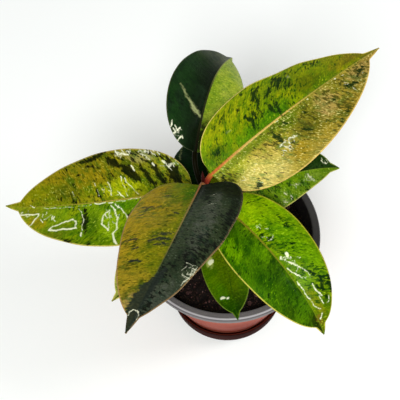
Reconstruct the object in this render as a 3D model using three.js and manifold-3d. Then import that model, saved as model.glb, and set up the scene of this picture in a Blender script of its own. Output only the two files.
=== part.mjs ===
// Potted rubber plant: saucer, outer pot, planting liner, soil, stem, bud sheath and nine leaves.
// Millimetres, +Z up, origin at the middle of the saucer's underside.
import * as THREE from 'three';
import { mergeVertices } from 'three/addons/utils/BufferGeometryUtils.js';
import Module from 'manifold-3d';

const wasm = await Module();
wasm.setup();

// Pot and saucer
const FIT = 0.3;
const ROUND_SIDES = 48;
const SAUCER_BASE_RADIUS = 54;
const SAUCER_RIM_RADIUS = 56.3;
const SAUCER_HEIGHT = 22;
const SAUCER_FLOOR = 3;
const SAUCER_WALL = 1.6;
const POT_TOP_RADIUS = 76.4;
const POT_TOP = 123.6;
const POT_FOOT_RADIUS = 48.2;
const POT_WALL = 3.2;
const POT_FLOOR = 5;
const DRAIN_RADIUS = 7;
const RIM_TOP = 130;
const LIP_OUTER_RADIUS = 80;
const LIP_INNER_RADIUS = 74;
const LIP_DROP = 8.4;
const LINER_WALL = 1.6;
const LINER_BOTTOM = 12;
const LINER_FLOOR = 2;
const SOIL_TOP = 115;
const SOIL_RELIEF = 1.1;

// Stem
const STEM_SIDES = 12;
const STEM_FOOT = 82;
const STEM_TIP = 212;
const STEM_FOOT_RADIUS = 4.2;
const STEM_TIP_RADIUS = 2.8;
const STEM_JOINT_SWELL = 0.5;
const BUD_LENGTH = 11;
const BUD_RADIUS = 1.5;

// Leaf blades, shared shape
const BLADE_THICKNESS = 1.1;
const BODY_SHARE = 0.93;
const TAPER = 0.6;
const DRIP_TIP_WIDTH = 0.106;
const TIP_HALF_WIDTH = 0.6;
const BASE_HALF_WIDTH = 1.2;
const STALK_STEPS = 12;
const STALK_SIDES = 6;
const JOINT_SPREAD = 15;
const SPINE_STEPS = 120;
const MIDRIB_SINK = 0.75;
const MIDRIB_SHARE = 0.93;

// Each leaf, angles in degrees and lengths in millimetres.
// joint: height of its joint on the stem. heading: compass angle of the blade, 0 along +X.
// sweep: change of heading along the blade. stalkRise, stalkLength, stalkTurn: the leaf stalk.
// rise: slope at the blade's base. droop and tipDroop: how much of it is lost along the blade.
// roll and twist: turn about the midrib. fold and curl: how each half rises and bends back.
// bluntness: how round the base is, smaller is blunter.
const LEAVES = {
  leaf_top_front: {
    joint: 206, heading: 254, sweep: -9, stalkRise: 77, stalkLength: 28, stalkTurn: 5,
    rise: 38, droop: 25, tipDroop: 3, roll: -13.5, twist: -2, fold: 14, curl: 18,
    length: 159, width: 77, bluntness: 0.28, stalkRadius: 2, across: 8, along: 18,
  },
  leaf_right: {
    joint: 208, heading: 32, sweep: -6, stalkRise: 62.5, stalkLength: 12, stalkTurn: 10,
    rise: 23, droop: 13, tipDroop: -4, roll: 3, twist: 35, fold: -2, curl: 16,
    length: 159, width: 84.5, bluntness: 0.43, stalkRadius: 2, across: 8, along: 18,
  },
  leaf_left: {
    joint: 198, heading: 183, sweep: -11, stalkRise: 57, stalkLength: 13.5, stalkTurn: -8,
    rise: -9, droop: -0.5, tipDroop: -16.5, roll: 0.5, twist: -9, fold: 10.5, curl: 2.5,
    length: 152, width: 84.5, bluntness: 0.45, stalkRadius: 2, across: 8, along: 18,
  },
  leaf_front_right: {
    joint: 188, heading: 310, sweep: -10, stalkRise: 48, stalkLength: 15, stalkTurn: -13,
    rise: 19, droop: 61, tipDroop: 18.5, roll: -6, twist: -0.5, fold: 11, curl: 12,
    length: 136, width: 62.5, bluntness: 0.5, stalkRadius: 2, across: 8, along: 18,
  },
  leaf_back: {
    joint: 185, heading: 78.5, sweep: -14, stalkRise: 45, stalkLength: 41, stalkTurn: 46,
    rise: 16, droop: 63.5, tipDroop: -3, roll: -25, twist: -1.5, fold: 1, curl: 14.5,
    length: 135, width: 66, bluntness: 0.47, stalkRadius: 2, across: 8, along: 18,
  },
  leaf_low_left: {
    joint: 172, heading: 222, sweep: -6, stalkRise: 42, stalkLength: 14, stalkTurn: 1,
    rise: 1, droop: 25.5, tipDroop: -2.5, roll: 2, twist: 1, fold: 9.5, curl: 10,
    length: 100, width: 53, bluntness: 0.47, stalkRadius: 1.7, across: 6, along: 14,
  },
  leaf_low_right: {
    joint: 165, heading: 15.5, sweep: -25.5, stalkRise: 42.5, stalkLength: 14, stalkTurn: 2,
    rise: 33, droop: 19.5, tipDroop: 12.5, roll: 0.5, twist: 14.5, fold: 10, curl: 13.5,
    length: 96, width: 58, bluntness: 0.45, stalkRadius: 1.7, across: 6, along: 14,
  },
  leaf_low_back: {
    joint: 156, heading: 97, sweep: -3, stalkRise: 42, stalkLength: 13, stalkTurn: 1,
    rise: 4, droop: 45.5, tipDroop: -2, roll: 3.5, twist: 3.5, fold: 9.5, curl: 9.5,
    length: 88, width: 55, bluntness: 0.49, stalkRadius: 1.7, across: 6, along: 14,
  },
  leaf_low_front: {
    joint: 146, heading: 274, sweep: 2.5, stalkRise: 42, stalkLength: 14, stalkTurn: -0.5,
    rise: 19.5, droop: 21, tipDroop: 0, roll: -16.5, twist: -2.5, fold: 11.5, curl: 8.5,
    length: 85, width: 41, bluntness: 0.445, stalkRadius: 1.6, across: 6, along: 14,
  },
};

const COLOURS = {
  saucer: [0x4a2a24, 0.45],
  pot: [0xa5604a, 0.55],
  pot_liner: [0x63625f, 0.45],
  soil: [0x1b120d, 0.95],
  stem: [0x5d4a30, 0.7],
  bud_sheath: [0x7a1f22, 0.45],
  leaf_top_front: [0x7d7a22, 0.3],
  leaf_right: [0xa8a524, 0.3],
  leaf_left: [0x6f9412, 0.3],
  leaf_front_right: [0x74a50a, 0.3],
  leaf_back: [0x1d3521, 0.25],
  leaf_low_left: [0x5d8c1e, 0.3],
  leaf_low_right: [0x4f7d16, 0.3],
  leaf_low_back: [0x1c3a22, 0.25],
  leaf_low_front: [0x47720c, 0.3],
};

const radians = THREE.MathUtils.degToRad;

// Solids from triangles

function signedVolume(positions, index) {
  const a = new THREE.Vector3();
  const b = new THREE.Vector3();
  const c = new THREE.Vector3();
  let total = 0;
  for (let i = 0; i < index.length; i += 3) {
    a.fromArray(positions, index[i] * 3);
    b.fromArray(positions, index[i + 1] * 3);
    c.fromArray(positions, index[i + 2] * 3);
    total += a.dot(b.cross(c)) / 6;
  }
  return total;
}

function tidy(source) {
  const plain = source.index ? source.toNonIndexed() : source.clone();
  for (const name of Object.keys(plain.attributes)) {
    if (name !== 'position') plain.deleteAttribute(name);
  }
  const merged = mergeVertices(plain, 1e-4);
  const all = Array.from(merged.index.array);
  let index = [];
  for (let i = 0; i < all.length; i += 3) {
    const [a, b, c] = all.slice(i, i + 3);
    if (a !== b && b !== c && c !== a) index.push(a, b, c);
  }
  if (signedVolume(merged.attributes.position.array, index) < 0) {
    index = index.reverse();
  }
  merged.setIndex(index);
  return merged;
}

function toManifold(geometry) {
  const shape = tidy(geometry);
  return new wasm.Manifold(new wasm.Mesh({
    numProp: 3,
    vertProperties: Float32Array.from(shape.attributes.position.array),
    triVerts: Uint32Array.from(shape.index.array),
  }));
}

function largestPiece(solid) {
  const pieces = solid.decompose();
  let best = pieces[0];
  for (const piece of pieces) {
    if (piece.volume() > best.volume()) best = piece;
  }
  return best;
}

function toGeometry(solid) {
  const mesh = solid.getMesh();
  const geometry = new THREE.BufferGeometry();
  const positions = new Float32Array(mesh.vertProperties);
  geometry.setAttribute('position', new THREE.BufferAttribute(positions, 3));
  geometry.setIndex(Array.from(mesh.triVerts));
  return geometry;
}

function fromRows(rows, faces) {
  const geometry = new THREE.BufferGeometry();
  const positions = new Float32Array(rows.flatMap((point) => point.toArray()));
  geometry.setAttribute('position', new THREE.BufferAttribute(positions, 3));
  geometry.setIndex(faces);
  return geometry;
}

// A closed skin over rings of points, with a flat cap at each end
function ringSkin(rings) {
  const sides = rings[0].length;
  const points = rings.flat();
  const faces = [];
  for (let i = 0; i + 1 < rings.length; i += 1) {
    for (let k = 0; k < sides; k += 1) {
      const a = i * sides + k;
      const b = i * sides + ((k + 1) % sides);
      faces.push(a, b, b + sides, a, b + sides, a + sides);
    }
  }
  const last = (rings.length - 1) * sides;
  for (let k = 1; k + 1 < sides; k += 1) {
    faces.push(0, k + 1, k);
    faces.push(last, last + k, last + k + 1);
  }
  return fromRows(points, faces);
}

// A turned solid whose profile is [radius, height] pairs
function turned(profile, sides = ROUND_SIDES) {
  const points = profile.map(([radius, height]) => new THREE.Vector2(radius, height));
  const shape = new THREE.LatheGeometry(points, sides);
  shape.rotateX(Math.PI / 2);
  return tidy(shape);
}

// Stem

function stemAxis(height) {
  const t = THREE.MathUtils.clamp((height - SOIL_TOP) / (STEM_TIP - SOIL_TOP), 0, 1);
  return new THREE.Vector3(-3 - 14.5 * t ** 1.2, 2, height);
}

function stemRadius(height) {
  const t = THREE.MathUtils.clamp((height - STEM_FOOT) / (STEM_TIP - STEM_FOOT), 0, 1);
  let radius = THREE.MathUtils.lerp(STEM_FOOT_RADIUS, STEM_TIP_RADIUS, t);
  for (const { joint } of Object.values(LEAVES)) {
    radius += STEM_JOINT_SWELL * Math.exp(-(((height - joint + 2) / 1.6) ** 2));
  }
  return radius;
}

function stemSolid(extra) {
  const heights = [STEM_FOOT - extra];
  for (let z = STEM_FOOT + 12; z < SOIL_TOP + 20; z += 12) heights.push(z);
  for (let z = 138; z < STEM_TIP - 2; z += 4) heights.push(z);
  heights.push(STEM_TIP - 1.4, STEM_TIP + extra);
  const rings = heights.map((height, i) => {
    const middle = stemAxis(Math.min(height, STEM_TIP));
    middle.z = height;
    const shrink = i === heights.length - 1 ? 0.6 : 0;
    const radius = stemRadius(height) + extra - shrink;
    return ring(middle, new THREE.Vector3(1, 0, 0), new THREE.Vector3(0, 1, 0), radius, STEM_SIDES);
  });
  return ringSkin(rings);
}

function ring(middle, side, up, radius, sides) {
  const points = [];
  for (let k = 0; k < sides; k += 1) {
    const angle = (2 * Math.PI * k) / sides;
    points.push(middle.clone()
      .addScaledVector(side, radius * Math.cos(angle))
      .addScaledVector(up, radius * Math.sin(angle)));
  }
  return points;
}

// Leaves

function direction(heading, rise) {
  const flat = Math.cos(radians(rise));
  return new THREE.Vector3(
    flat * Math.cos(radians(heading)),
    flat * Math.sin(radians(heading)),
    Math.sin(radians(rise)),
  );
}

// Side and upper directions of the blade at a heading and slope, turned by a roll
function frame(heading, rise, roll) {
  const along = direction(heading, rise);
  const level = new THREE.Vector3(Math.sin(radians(heading)), -Math.cos(radians(heading)), 0);
  const upright = level.clone().cross(along);
  const c = Math.cos(radians(roll));
  const s = Math.sin(radians(roll));
  return {
    side: level.clone().multiplyScalar(c).addScaledVector(upright, s),
    up: upright.clone().multiplyScalar(c).addScaledVector(level, -s),
  };
}

function stalkSlope(leaf, t) {
  const spread = JOINT_SPREAD * (1 - t) ** 4;
  return leaf.stalkRise - spread + (leaf.rise - leaf.stalkRise) * t ** 3;
}

function stalkPoints(leaf) {
  const points = [stemAxis(leaf.joint)];
  for (let i = 0; i < STALK_STEPS; i += 1) {
    const t = (i + 0.5) / STALK_STEPS;
    const step = direction(leaf.heading + leaf.stalkTurn * (1 - t ** 1.5), stalkSlope(leaf, t));
    points.push(points[i].clone().addScaledVector(step, leaf.stalkLength / STALK_STEPS));
  }
  return points;
}

function slopeAt(leaf, s) {
  const tip = Math.max(0, (s - 0.75) / 0.25);
  return leaf.rise - leaf.droop * s - leaf.tipDroop * tip * tip;
}

function spinePoints(leaf, start) {
  const points = [start];
  for (let i = 0; i < SPINE_STEPS; i += 1) {
    const s = (i + 0.5) / SPINE_STEPS;
    const step = direction(leaf.heading + leaf.sweep * s, slopeAt(leaf, s));
    points.push(points[i].clone().addScaledVector(step, leaf.length / SPINE_STEPS));
  }
  return points;
}

// Half width of the blade at a share s of its length: an oval body and a drawn-out tip
function halfWidth(leaf, s) {
  const x = Math.min(s / BODY_SHARE, 1);
  const p = leaf.bluntness;
  const peak = (p / (p + TAPER)) ** p * (TAPER / (p + TAPER)) ** TAPER;
  const body = (x ** p * (1 - x) ** TAPER) / peak;
  const tipStart = THREE.MathUtils.clamp((s - 0.55) / 0.35, 0, 1);
  const tip = (tipStart * DRIP_TIP_WIDTH * (1 - s)) / (1 - BODY_SHARE);
  const width = Math.cbrt(body ** 3 + tip ** 3) * (leaf.width / 2);
  return Math.max(width, s < 0.5 ? BASE_HALF_WIDTH : TIP_HALF_WIDTH);
}

// One cross-section of the blade: points on its upper face and the way its lower face lies
function section(leaf, spine, s) {
  const place = s * SPINE_STEPS;
  const before = Math.min(Math.floor(place), SPINE_STEPS - 1);
  const middle = spine[before].clone().lerp(spine[before + 1], place - before);
  const { side, up } = frame(
    leaf.heading + leaf.sweep * s,
    slopeAt(leaf, s),
    leaf.roll + leaf.twist * (s - 0.5),
  );
  const half = halfWidth(leaf, s);
  const count = leaf.across / 2;
  const top = [];
  const down = [];
  for (const sign of [-1, 1]) {
    let out = 0;
    let rise = 0;
    const edge = [];
    for (let j = 1; j <= count; j += 1) {
      const reach = (half * (j - 0.5)) / count;
      const angle = radians(leaf.fold - (leaf.curl * reach) / (leaf.width / 2));
      out += (Math.cos(angle) * half) / count;
      rise += (Math.sin(angle) * half) / count;
      const point = middle.clone()
        .addScaledVector(side, sign * out)
        .addScaledVector(up, rise);
      const normal = up.clone().multiplyScalar(Math.cos(angle))
        .addScaledVector(side, -sign * Math.sin(angle));
      edge.push([point, normal]);
    }
    if (sign < 0) edge.reverse();
    for (const [point, normal] of edge) {
      top.push(point);
      down.push(normal.multiplyScalar(-BLADE_THICKNESS));
    }
    if (sign < 0) {
      top.push(middle.clone());
      down.push(up.clone().multiplyScalar(-BLADE_THICKNESS));
    }
  }
  return { top, bottom: top.map((point, j) => point.clone().add(down[j])), middle, side, up };
}

function stations(count) {
  const shares = [];
  for (let i = 0; i <= count; i += 1) {
    const even = i / count;
    shares.push(0.45 * even + 0.55 * (0.5 - 0.5 * Math.cos(Math.PI * even)));
  }
  return shares;
}

// Both faces of the blade are split the same way, and strips close its margin
function bladeSkin(leaf, spine) {
  const sections = stations(leaf.along).map((s) => section(leaf, spine, s));
  const width = leaf.across + 1;
  const rows = sections.length;
  const points = [
    ...sections.flatMap(({ top }) => top),
    ...sections.flatMap(({ bottom }) => bottom),
  ];
  const under = rows * width;
  const faces = [];
  for (let i = 0; i + 1 < rows; i += 1) {
    for (let j = 0; j < leaf.across; j += 1) {
      const a = i * width + j;
      const b = a + 1;
      const c = a + width;
      const d = c + 1;
      faces.push(a, b, d, a, d, c);
      faces.push(under + a, under + d, under + b, under + a, under + c, under + d);
    }
    for (const [j, flip] of [[0, false], [leaf.across, true]]) {
      const a = i * width + j;
      const c = a + width;
      const strip = [a, c, under + c, a, under + c, under + a];
      faces.push(...(flip ? strip.reverse() : strip));
    }
  }
  for (const [i, flip] of [[0, true], [rows - 1, false]]) {
    for (let j = 0; j < leaf.across; j += 1) {
      const a = i * width + j;
      const strip = [a, a + 1, under + a + 1, a, under + a + 1, under + a];
      faces.push(...(flip ? strip.reverse() : strip));
    }
  }
  return fromRows(points, faces);
}

// The stalk, running on under the blade as its midrib
function stalkSkin(leaf, stalk, spine) {
  const rings = [];
  for (let i = 0; i < STALK_STEPS; i += 2) {
    const t = i / STALK_STEPS;
    const heading = leaf.heading + leaf.stalkTurn * (1 - t ** 1.5);
    const roll = (leaf.roll - leaf.twist / 2) * t;
    const { side, up } = frame(heading, stalkSlope(leaf, t), roll);
    const sink = -MIDRIB_SINK * leaf.stalkRadius * t;
    const middle = stalk[i].clone().addScaledVector(up, sink);
    rings.push(ring(middle, side, up, leaf.stalkRadius * (1.15 - 0.15 * t), STALK_SIDES));
  }
  for (let i = 0; i <= 10; i += 1) {
    const s = (MIDRIB_SHARE * i) / 10;
    const { middle, side, up } = section(leaf, spine, s);
    const radius = leaf.stalkRadius * (1 - 0.74 * (s / MIDRIB_SHARE) ** 0.8);
    middle.addScaledVector(up, -MIDRIB_SINK * radius);
    rings.push(ring(middle, side, up, radius, STALK_SIDES));
  }
  return ringSkin(rings);
}

function leafGeometry(leaf, stemRoom) {
  const stalk = stalkPoints(leaf);
  const spine = spinePoints(leaf, stalk[STALK_STEPS]);
  const blade = toManifold(bladeSkin(leaf, spine));
  const rib = toManifold(stalkSkin(leaf, stalk, spine));
  return toGeometry(largestPiece(blade.add(rib).subtract(stemRoom)));
}

// Pot, liner, saucer and soil

const potSlope = (POT_TOP_RADIUS - POT_FOOT_RADIUS) / (POT_TOP - SAUCER_FLOOR - FIT);
const potRadius = (height) => POT_TOP_RADIUS - (POT_TOP - height) * potSlope;
const potBore = (height) => potRadius(height) - POT_WALL;
const linerRadius = (height) => potBore(height) - FIT;
const linerBore = (height) => linerRadius(height) - LINER_WALL;

function saucerGeometry() {
  const innerRim = SAUCER_RIM_RADIUS - SAUCER_WALL;
  const innerFoot = SAUCER_BASE_RADIUS - SAUCER_WALL - 1;
  return turned([
    [0, 0],
    [SAUCER_BASE_RADIUS - 1.4, 0],
    [SAUCER_BASE_RADIUS, 1.4],
    [SAUCER_RIM_RADIUS, SAUCER_HEIGHT - 0.6],
    [SAUCER_RIM_RADIUS - 0.7, SAUCER_HEIGHT],
    [innerRim, SAUCER_HEIGHT],
    [innerFoot, SAUCER_FLOOR + 1],
    [innerFoot - 1, SAUCER_FLOOR],
    [0, SAUCER_FLOOR],
  ]);
}

function potGeometry() {
  const foot = SAUCER_FLOOR + FIT;
  const floor = foot + POT_FLOOR;
  return turned([
    [DRAIN_RADIUS, foot],
    [potRadius(foot) - 1.2, foot],
    [potRadius(foot + 1.2), foot + 1.2],
    [POT_TOP_RADIUS, POT_TOP],
    [potBore(POT_TOP), POT_TOP],
    [potBore(floor), floor],
    [DRAIN_RADIUS, floor],
    [DRAIN_RADIUS, foot],
  ]);
}

function linerGeometry() {
  const underLip = POT_TOP + FIT;
  const skirt = RIM_TOP - LIP_DROP;
  const floor = LINER_BOTTOM + LINER_FLOOR;
  return turned([
    [DRAIN_RADIUS - 1, LINER_BOTTOM],
    [linerRadius(LINER_BOTTOM), LINER_BOTTOM],
    [linerRadius(underLip), underLip],
    [LIP_OUTER_RADIUS - 1.9, underLip],
    [LIP_OUTER_RADIUS - 2.1, skirt],
    [LIP_OUTER_RADIUS - 0.6, skirt],
    [LIP_OUTER_RADIUS, RIM_TOP - 2.4],
    [LIP_OUTER_RADIUS - 0.5, RIM_TOP - 0.8],
    [LIP_OUTER_RADIUS - 1.6, RIM_TOP],
    [LIP_INNER_RADIUS, RIM_TOP],
    [LIP_INNER_RADIUS - 0.8, RIM_TOP - 0.8],
    [linerBore(underLip - 4), underLip - 4],
    [linerBore(floor), floor],
    [DRAIN_RADIUS - 1, floor],
    [DRAIN_RADIUS - 1, LINER_BOTTOM],
  ]);
}

function soilHeight(x, y) {
  const wave = Math.sin(x * 0.21 + 0.7) * Math.cos(y * 0.17 - 0.4)
    + 0.6 * Math.sin(x * 0.43 - y * 0.37 + 1.9)
    + 0.4 * Math.cos(x * 0.31 + y * 0.52);
  return SOIL_RELIEF * wave * 0.6;
}

function soilGeometry() {
  const floor = LINER_BOTTOM + LINER_FLOOR + FIT;
  const profile = [[0, floor], [linerBore(floor) - FIT, floor]];
  profile.push([linerBore(SOIL_TOP) - FIT, SOIL_TOP]);
  for (const share of [0.92, 0.8, 0.68, 0.55, 0.42, 0.3, 0.18, 0.08]) {
    profile.push([linerBore(SOIL_TOP) * share, SOIL_TOP]);
  }
  profile.push([0, SOIL_TOP]);
  const shape = turned(profile, 44);
  const position = shape.attributes.position;
  for (let i = 0; i < position.count; i += 1) {
    const x = position.getX(i);
    const y = position.getY(i);
    const inside = Math.hypot(x, y) < linerBore(SOIL_TOP) - 1;
    if (position.getZ(i) > SOIL_TOP - 1 && inside) {
      position.setZ(i, SOIL_TOP + soilHeight(x, y));
    }
  }
  const hole = stemSolidForHole();
  return toGeometry(toManifold(shape).subtract(hole));
}

function stemSolidForHole() {
  const foot = stemAxis(STEM_FOOT);
  const rings = [STEM_FOOT - FIT, SOIL_TOP + 6].map((height) => {
    const middle = new THREE.Vector3(foot.x, foot.y, height);
    const radius = STEM_FOOT_RADIUS + FIT + 0.05;
    return ring(middle, new THREE.Vector3(1, 0, 0), new THREE.Vector3(0, 1, 0), radius, STEM_SIDES);
  });
  return toManifold(ringSkin(rings));
}

function budGeometry() {
  const profile = [
    [0, 0],
    [BUD_RADIUS * 0.75, 0],
    [BUD_RADIUS, BUD_LENGTH * 0.22],
    [BUD_RADIUS * 0.8, BUD_LENGTH * 0.55],
    [BUD_RADIUS * 0.35, BUD_LENGTH * 0.88],
    [0, BUD_LENGTH],
  ];
  return turned(profile, 10);
}

// The scene

const plant = new THREE.Group();

function place(name, geometry) {
  const [color, roughness] = COLOURS[name];
  const material = new THREE.MeshStandardMaterial({ color, roughness, metalness: 0 });
  const mesh = new THREE.Mesh(geometry, material);
  mesh.name = name;
  plant.add(mesh);
  return mesh;
}

place('saucer', saucerGeometry());
place('pot', potGeometry());
place('pot_liner', linerGeometry());
place('soil', soilGeometry());
place('stem', tidy(stemSolid(0)));

const bud = place('bud_sheath', budGeometry());
bud.position.copy(stemAxis(STEM_TIP)).add(new THREE.Vector3(0.2, 1.3, 0.7));
bud.rotation.set(-0.3, 0, 0);

const stemRoom = toManifold(stemSolid(FIT));
for (const [name, leaf] of Object.entries(LEAVES)) {
  place(name, leafGeometry(leaf, stemRoom));
}

export default plant;
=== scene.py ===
# Finish and fine forms of a potted rubber plant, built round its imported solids. +Z up.
# The frame is in metres. Shape functions work in millimetres, and MM turns them into metres.
import math
from types import SimpleNamespace

import bpy
import numpy as np
from mathutils import Matrix, Vector


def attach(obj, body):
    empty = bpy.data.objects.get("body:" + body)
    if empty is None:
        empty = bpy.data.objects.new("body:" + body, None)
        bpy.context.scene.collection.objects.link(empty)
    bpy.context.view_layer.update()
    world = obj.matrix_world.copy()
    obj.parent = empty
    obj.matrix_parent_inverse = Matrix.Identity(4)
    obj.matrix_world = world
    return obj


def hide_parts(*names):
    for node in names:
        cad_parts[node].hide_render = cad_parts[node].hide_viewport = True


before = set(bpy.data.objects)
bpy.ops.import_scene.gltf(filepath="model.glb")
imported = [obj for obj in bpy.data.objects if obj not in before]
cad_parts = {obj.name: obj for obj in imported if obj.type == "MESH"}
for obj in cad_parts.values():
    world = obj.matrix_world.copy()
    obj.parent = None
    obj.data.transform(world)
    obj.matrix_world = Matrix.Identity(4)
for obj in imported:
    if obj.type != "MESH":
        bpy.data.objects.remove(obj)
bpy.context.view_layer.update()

MM = 0.001
BODY = "root"

# Seeds of the draws, and how far apart the leaves' noises lie
SOIL_SEED = 5
CRUMB_SEED = 8
WAVE_SEED = 11
GLINT_SEED = 40
NOISE_STEP = 97

# Pot, liner, saucer, soil and stem, millimetres
FIT = 0.3
SAUCER_BASE_RADIUS = 54
SAUCER_RIM_RADIUS = 56.3
SAUCER_HEIGHT = 22
SAUCER_FLOOR = 3
SAUCER_WALL = 1.6
SAUCER_LEAN = 0.13
SAUCER_MIDDLE = 8
POT_TOP_RADIUS = 76.4
POT_TOP = 123.6
POT_FOOT_RADIUS = 48.2
POT_WALL = 3.2
POT_FLOOR = 5
DRAIN_RADIUS = 7
RIM_TOP = 130
LIP_OUTER_RADIUS = 80
LIP_INNER_RADIUS = 74
LIP_DROP = 8.4
LINER_WALL = 1.6
LINER_BOTTOM = 12
LINER_FLOOR = 2
SOIL_TOP = 115
SOIL_RELIEF = 1.1
CLOD_REACH = 70
CLODS = ((9, 1.3, 120), (5, 1.0, 420), (2.8, 0.7, 1300))
CRUMB_COUNT = 520
CRUMB_REACH = 66
CRUMB_CLEARANCE = 6
STEM_FOOT = 82
STEM_TIP = 212
STEM_X = -3
STEM_Y = 2
STEM_LEAN = 14.5
STEM_FOOT_RADIUS = 4.2
STEM_TIP_RADIUS = 2.8
STEM_JOINT_SWELL = 0.5
STEM_SCAR_DEPTH = 0.18
STEM_SIDES = 40
BUD_LENGTH = 11
BUD_RADIUS = 1.5
BUD_LEAN = 0.3
BUD_RINGS = 40
BUD_SIDES = 28

# Leaf blades, shared shape, millimetres and shares
BODY_SHARE = 0.93
TAPER = 0.6
TIP_HALF_WIDTH = 0.6
BASE_HALF_WIDTH = 1.2
STALK_STEPS = 12
STALK_RINGS = 24
JOINT_SPREAD = 15
SPINE_STEPS = 120
MIDRIB_SINK = 0.75
MIDRIB_SHARE = 0.93
MIDRIB_THINNING = 0.74
TIP_DROOP_FROM = 0.75
BLADE_THICKNESS = 0.8
MARGIN_THICKNESS = 0.4
SEAM_ANGLE = 0.06
VEIN_SPACING = 5.4
FINE_VEIN_SPACING = 1.8
VEIN_LEAN = 0.25
VEIN_CURVE = 0.008
VEIN_HEIGHT = 0.05
FINE_VEIN_HEIGHT = 0.008
UNDER_VEIN_HEIGHT = 0.14
CHANNEL_DEPTH = 0.16
CHANNEL_PLACE = 2.6
WATER_HEIGHT = 0.2
MARGIN_ROLL = 0.06
WAVE_LENGTHS = (54, 37, 26)
FAR_OUTSIDE = -14.0


def table(columns, rows):
    """Rows of values by name, each value under its column's word."""
    return {name: SimpleNamespace(**dict(zip(columns.split(), row))) for name, row in rows.items()}


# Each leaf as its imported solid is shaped, angles in degrees and lengths in millimetres, and last how
# finely its skin is divided along and across
LEAVES = table(
    "joint heading sweep stalk_rise stalk_length stalk_turn rise droop tip_droop roll twist fold curl "
    "length width bluntness drip stalk_radius rows across", {
    "leaf_top_front": (
        206, 254, -9, 77, 28, 5, 38, 25, 3, -13.5, -2, 14, 18, 159, 77, 0.28, 0.106, 2, 240, 56,
    ),
    "leaf_right": (208, 32, -6, 62.5, 12, 10, 23, 13, -4, 3, 35, -2, 16, 159, 84.5, 0.43, 0.106, 2, 240, 56),
    "leaf_left": (
        198, 183, -11, 57, 13.5, -8, -9, -0.5, -16.5, 0.5, -9, 10.5, 2.5, 152, 84.5, 0.45, 0.106, 2, 240, 56,
    ),
    "leaf_front_right": (
        188, 310, -10, 48, 15, -13, 19, 61, 18.5, -6, -0.5, 11, 12, 136, 62.5, 0.5, 0.13, 2, 210, 46,
    ),
    "leaf_back": (
        185, 78.5, -14, 45, 41, 46, 16, 63.5, -3, -25, -1.5, 1, 14.5, 135, 66, 0.47, 0.106, 2, 210, 46,
    ),
    "leaf_low_left": (
        172, 222, -6, 42, 14, 1, 1, 25.5, -2.5, 2, 1, 9.5, 10, 100, 53, 0.47, 0.106, 1.7, 160, 38,
    ),
    "leaf_low_right": (
        165, 15.5, -25.5, 42.5, 14, 2, 33, 19.5, 12.5, 0.5, 14.5, 10, 13.5, 96, 58, 0.45, 0.16, 1.7, 160, 38,
    ),
    "leaf_low_back": (
        156, 97, -3, 42, 13, 1, 4, 45.5, -2, 3.5, 3.5, 9.5, 9.5, 88, 55, 0.49, 0.106, 1.7, 150, 38,
    ),
    "leaf_low_front": (
        146, 274, 2.5, 42, 14, -0.5, 19.5, 21, 0, -16.5, -2.5, 11.5, 8.5, 85, 41, 0.445, 0.15, 1.6, 150, 34,
    ),
})

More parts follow.
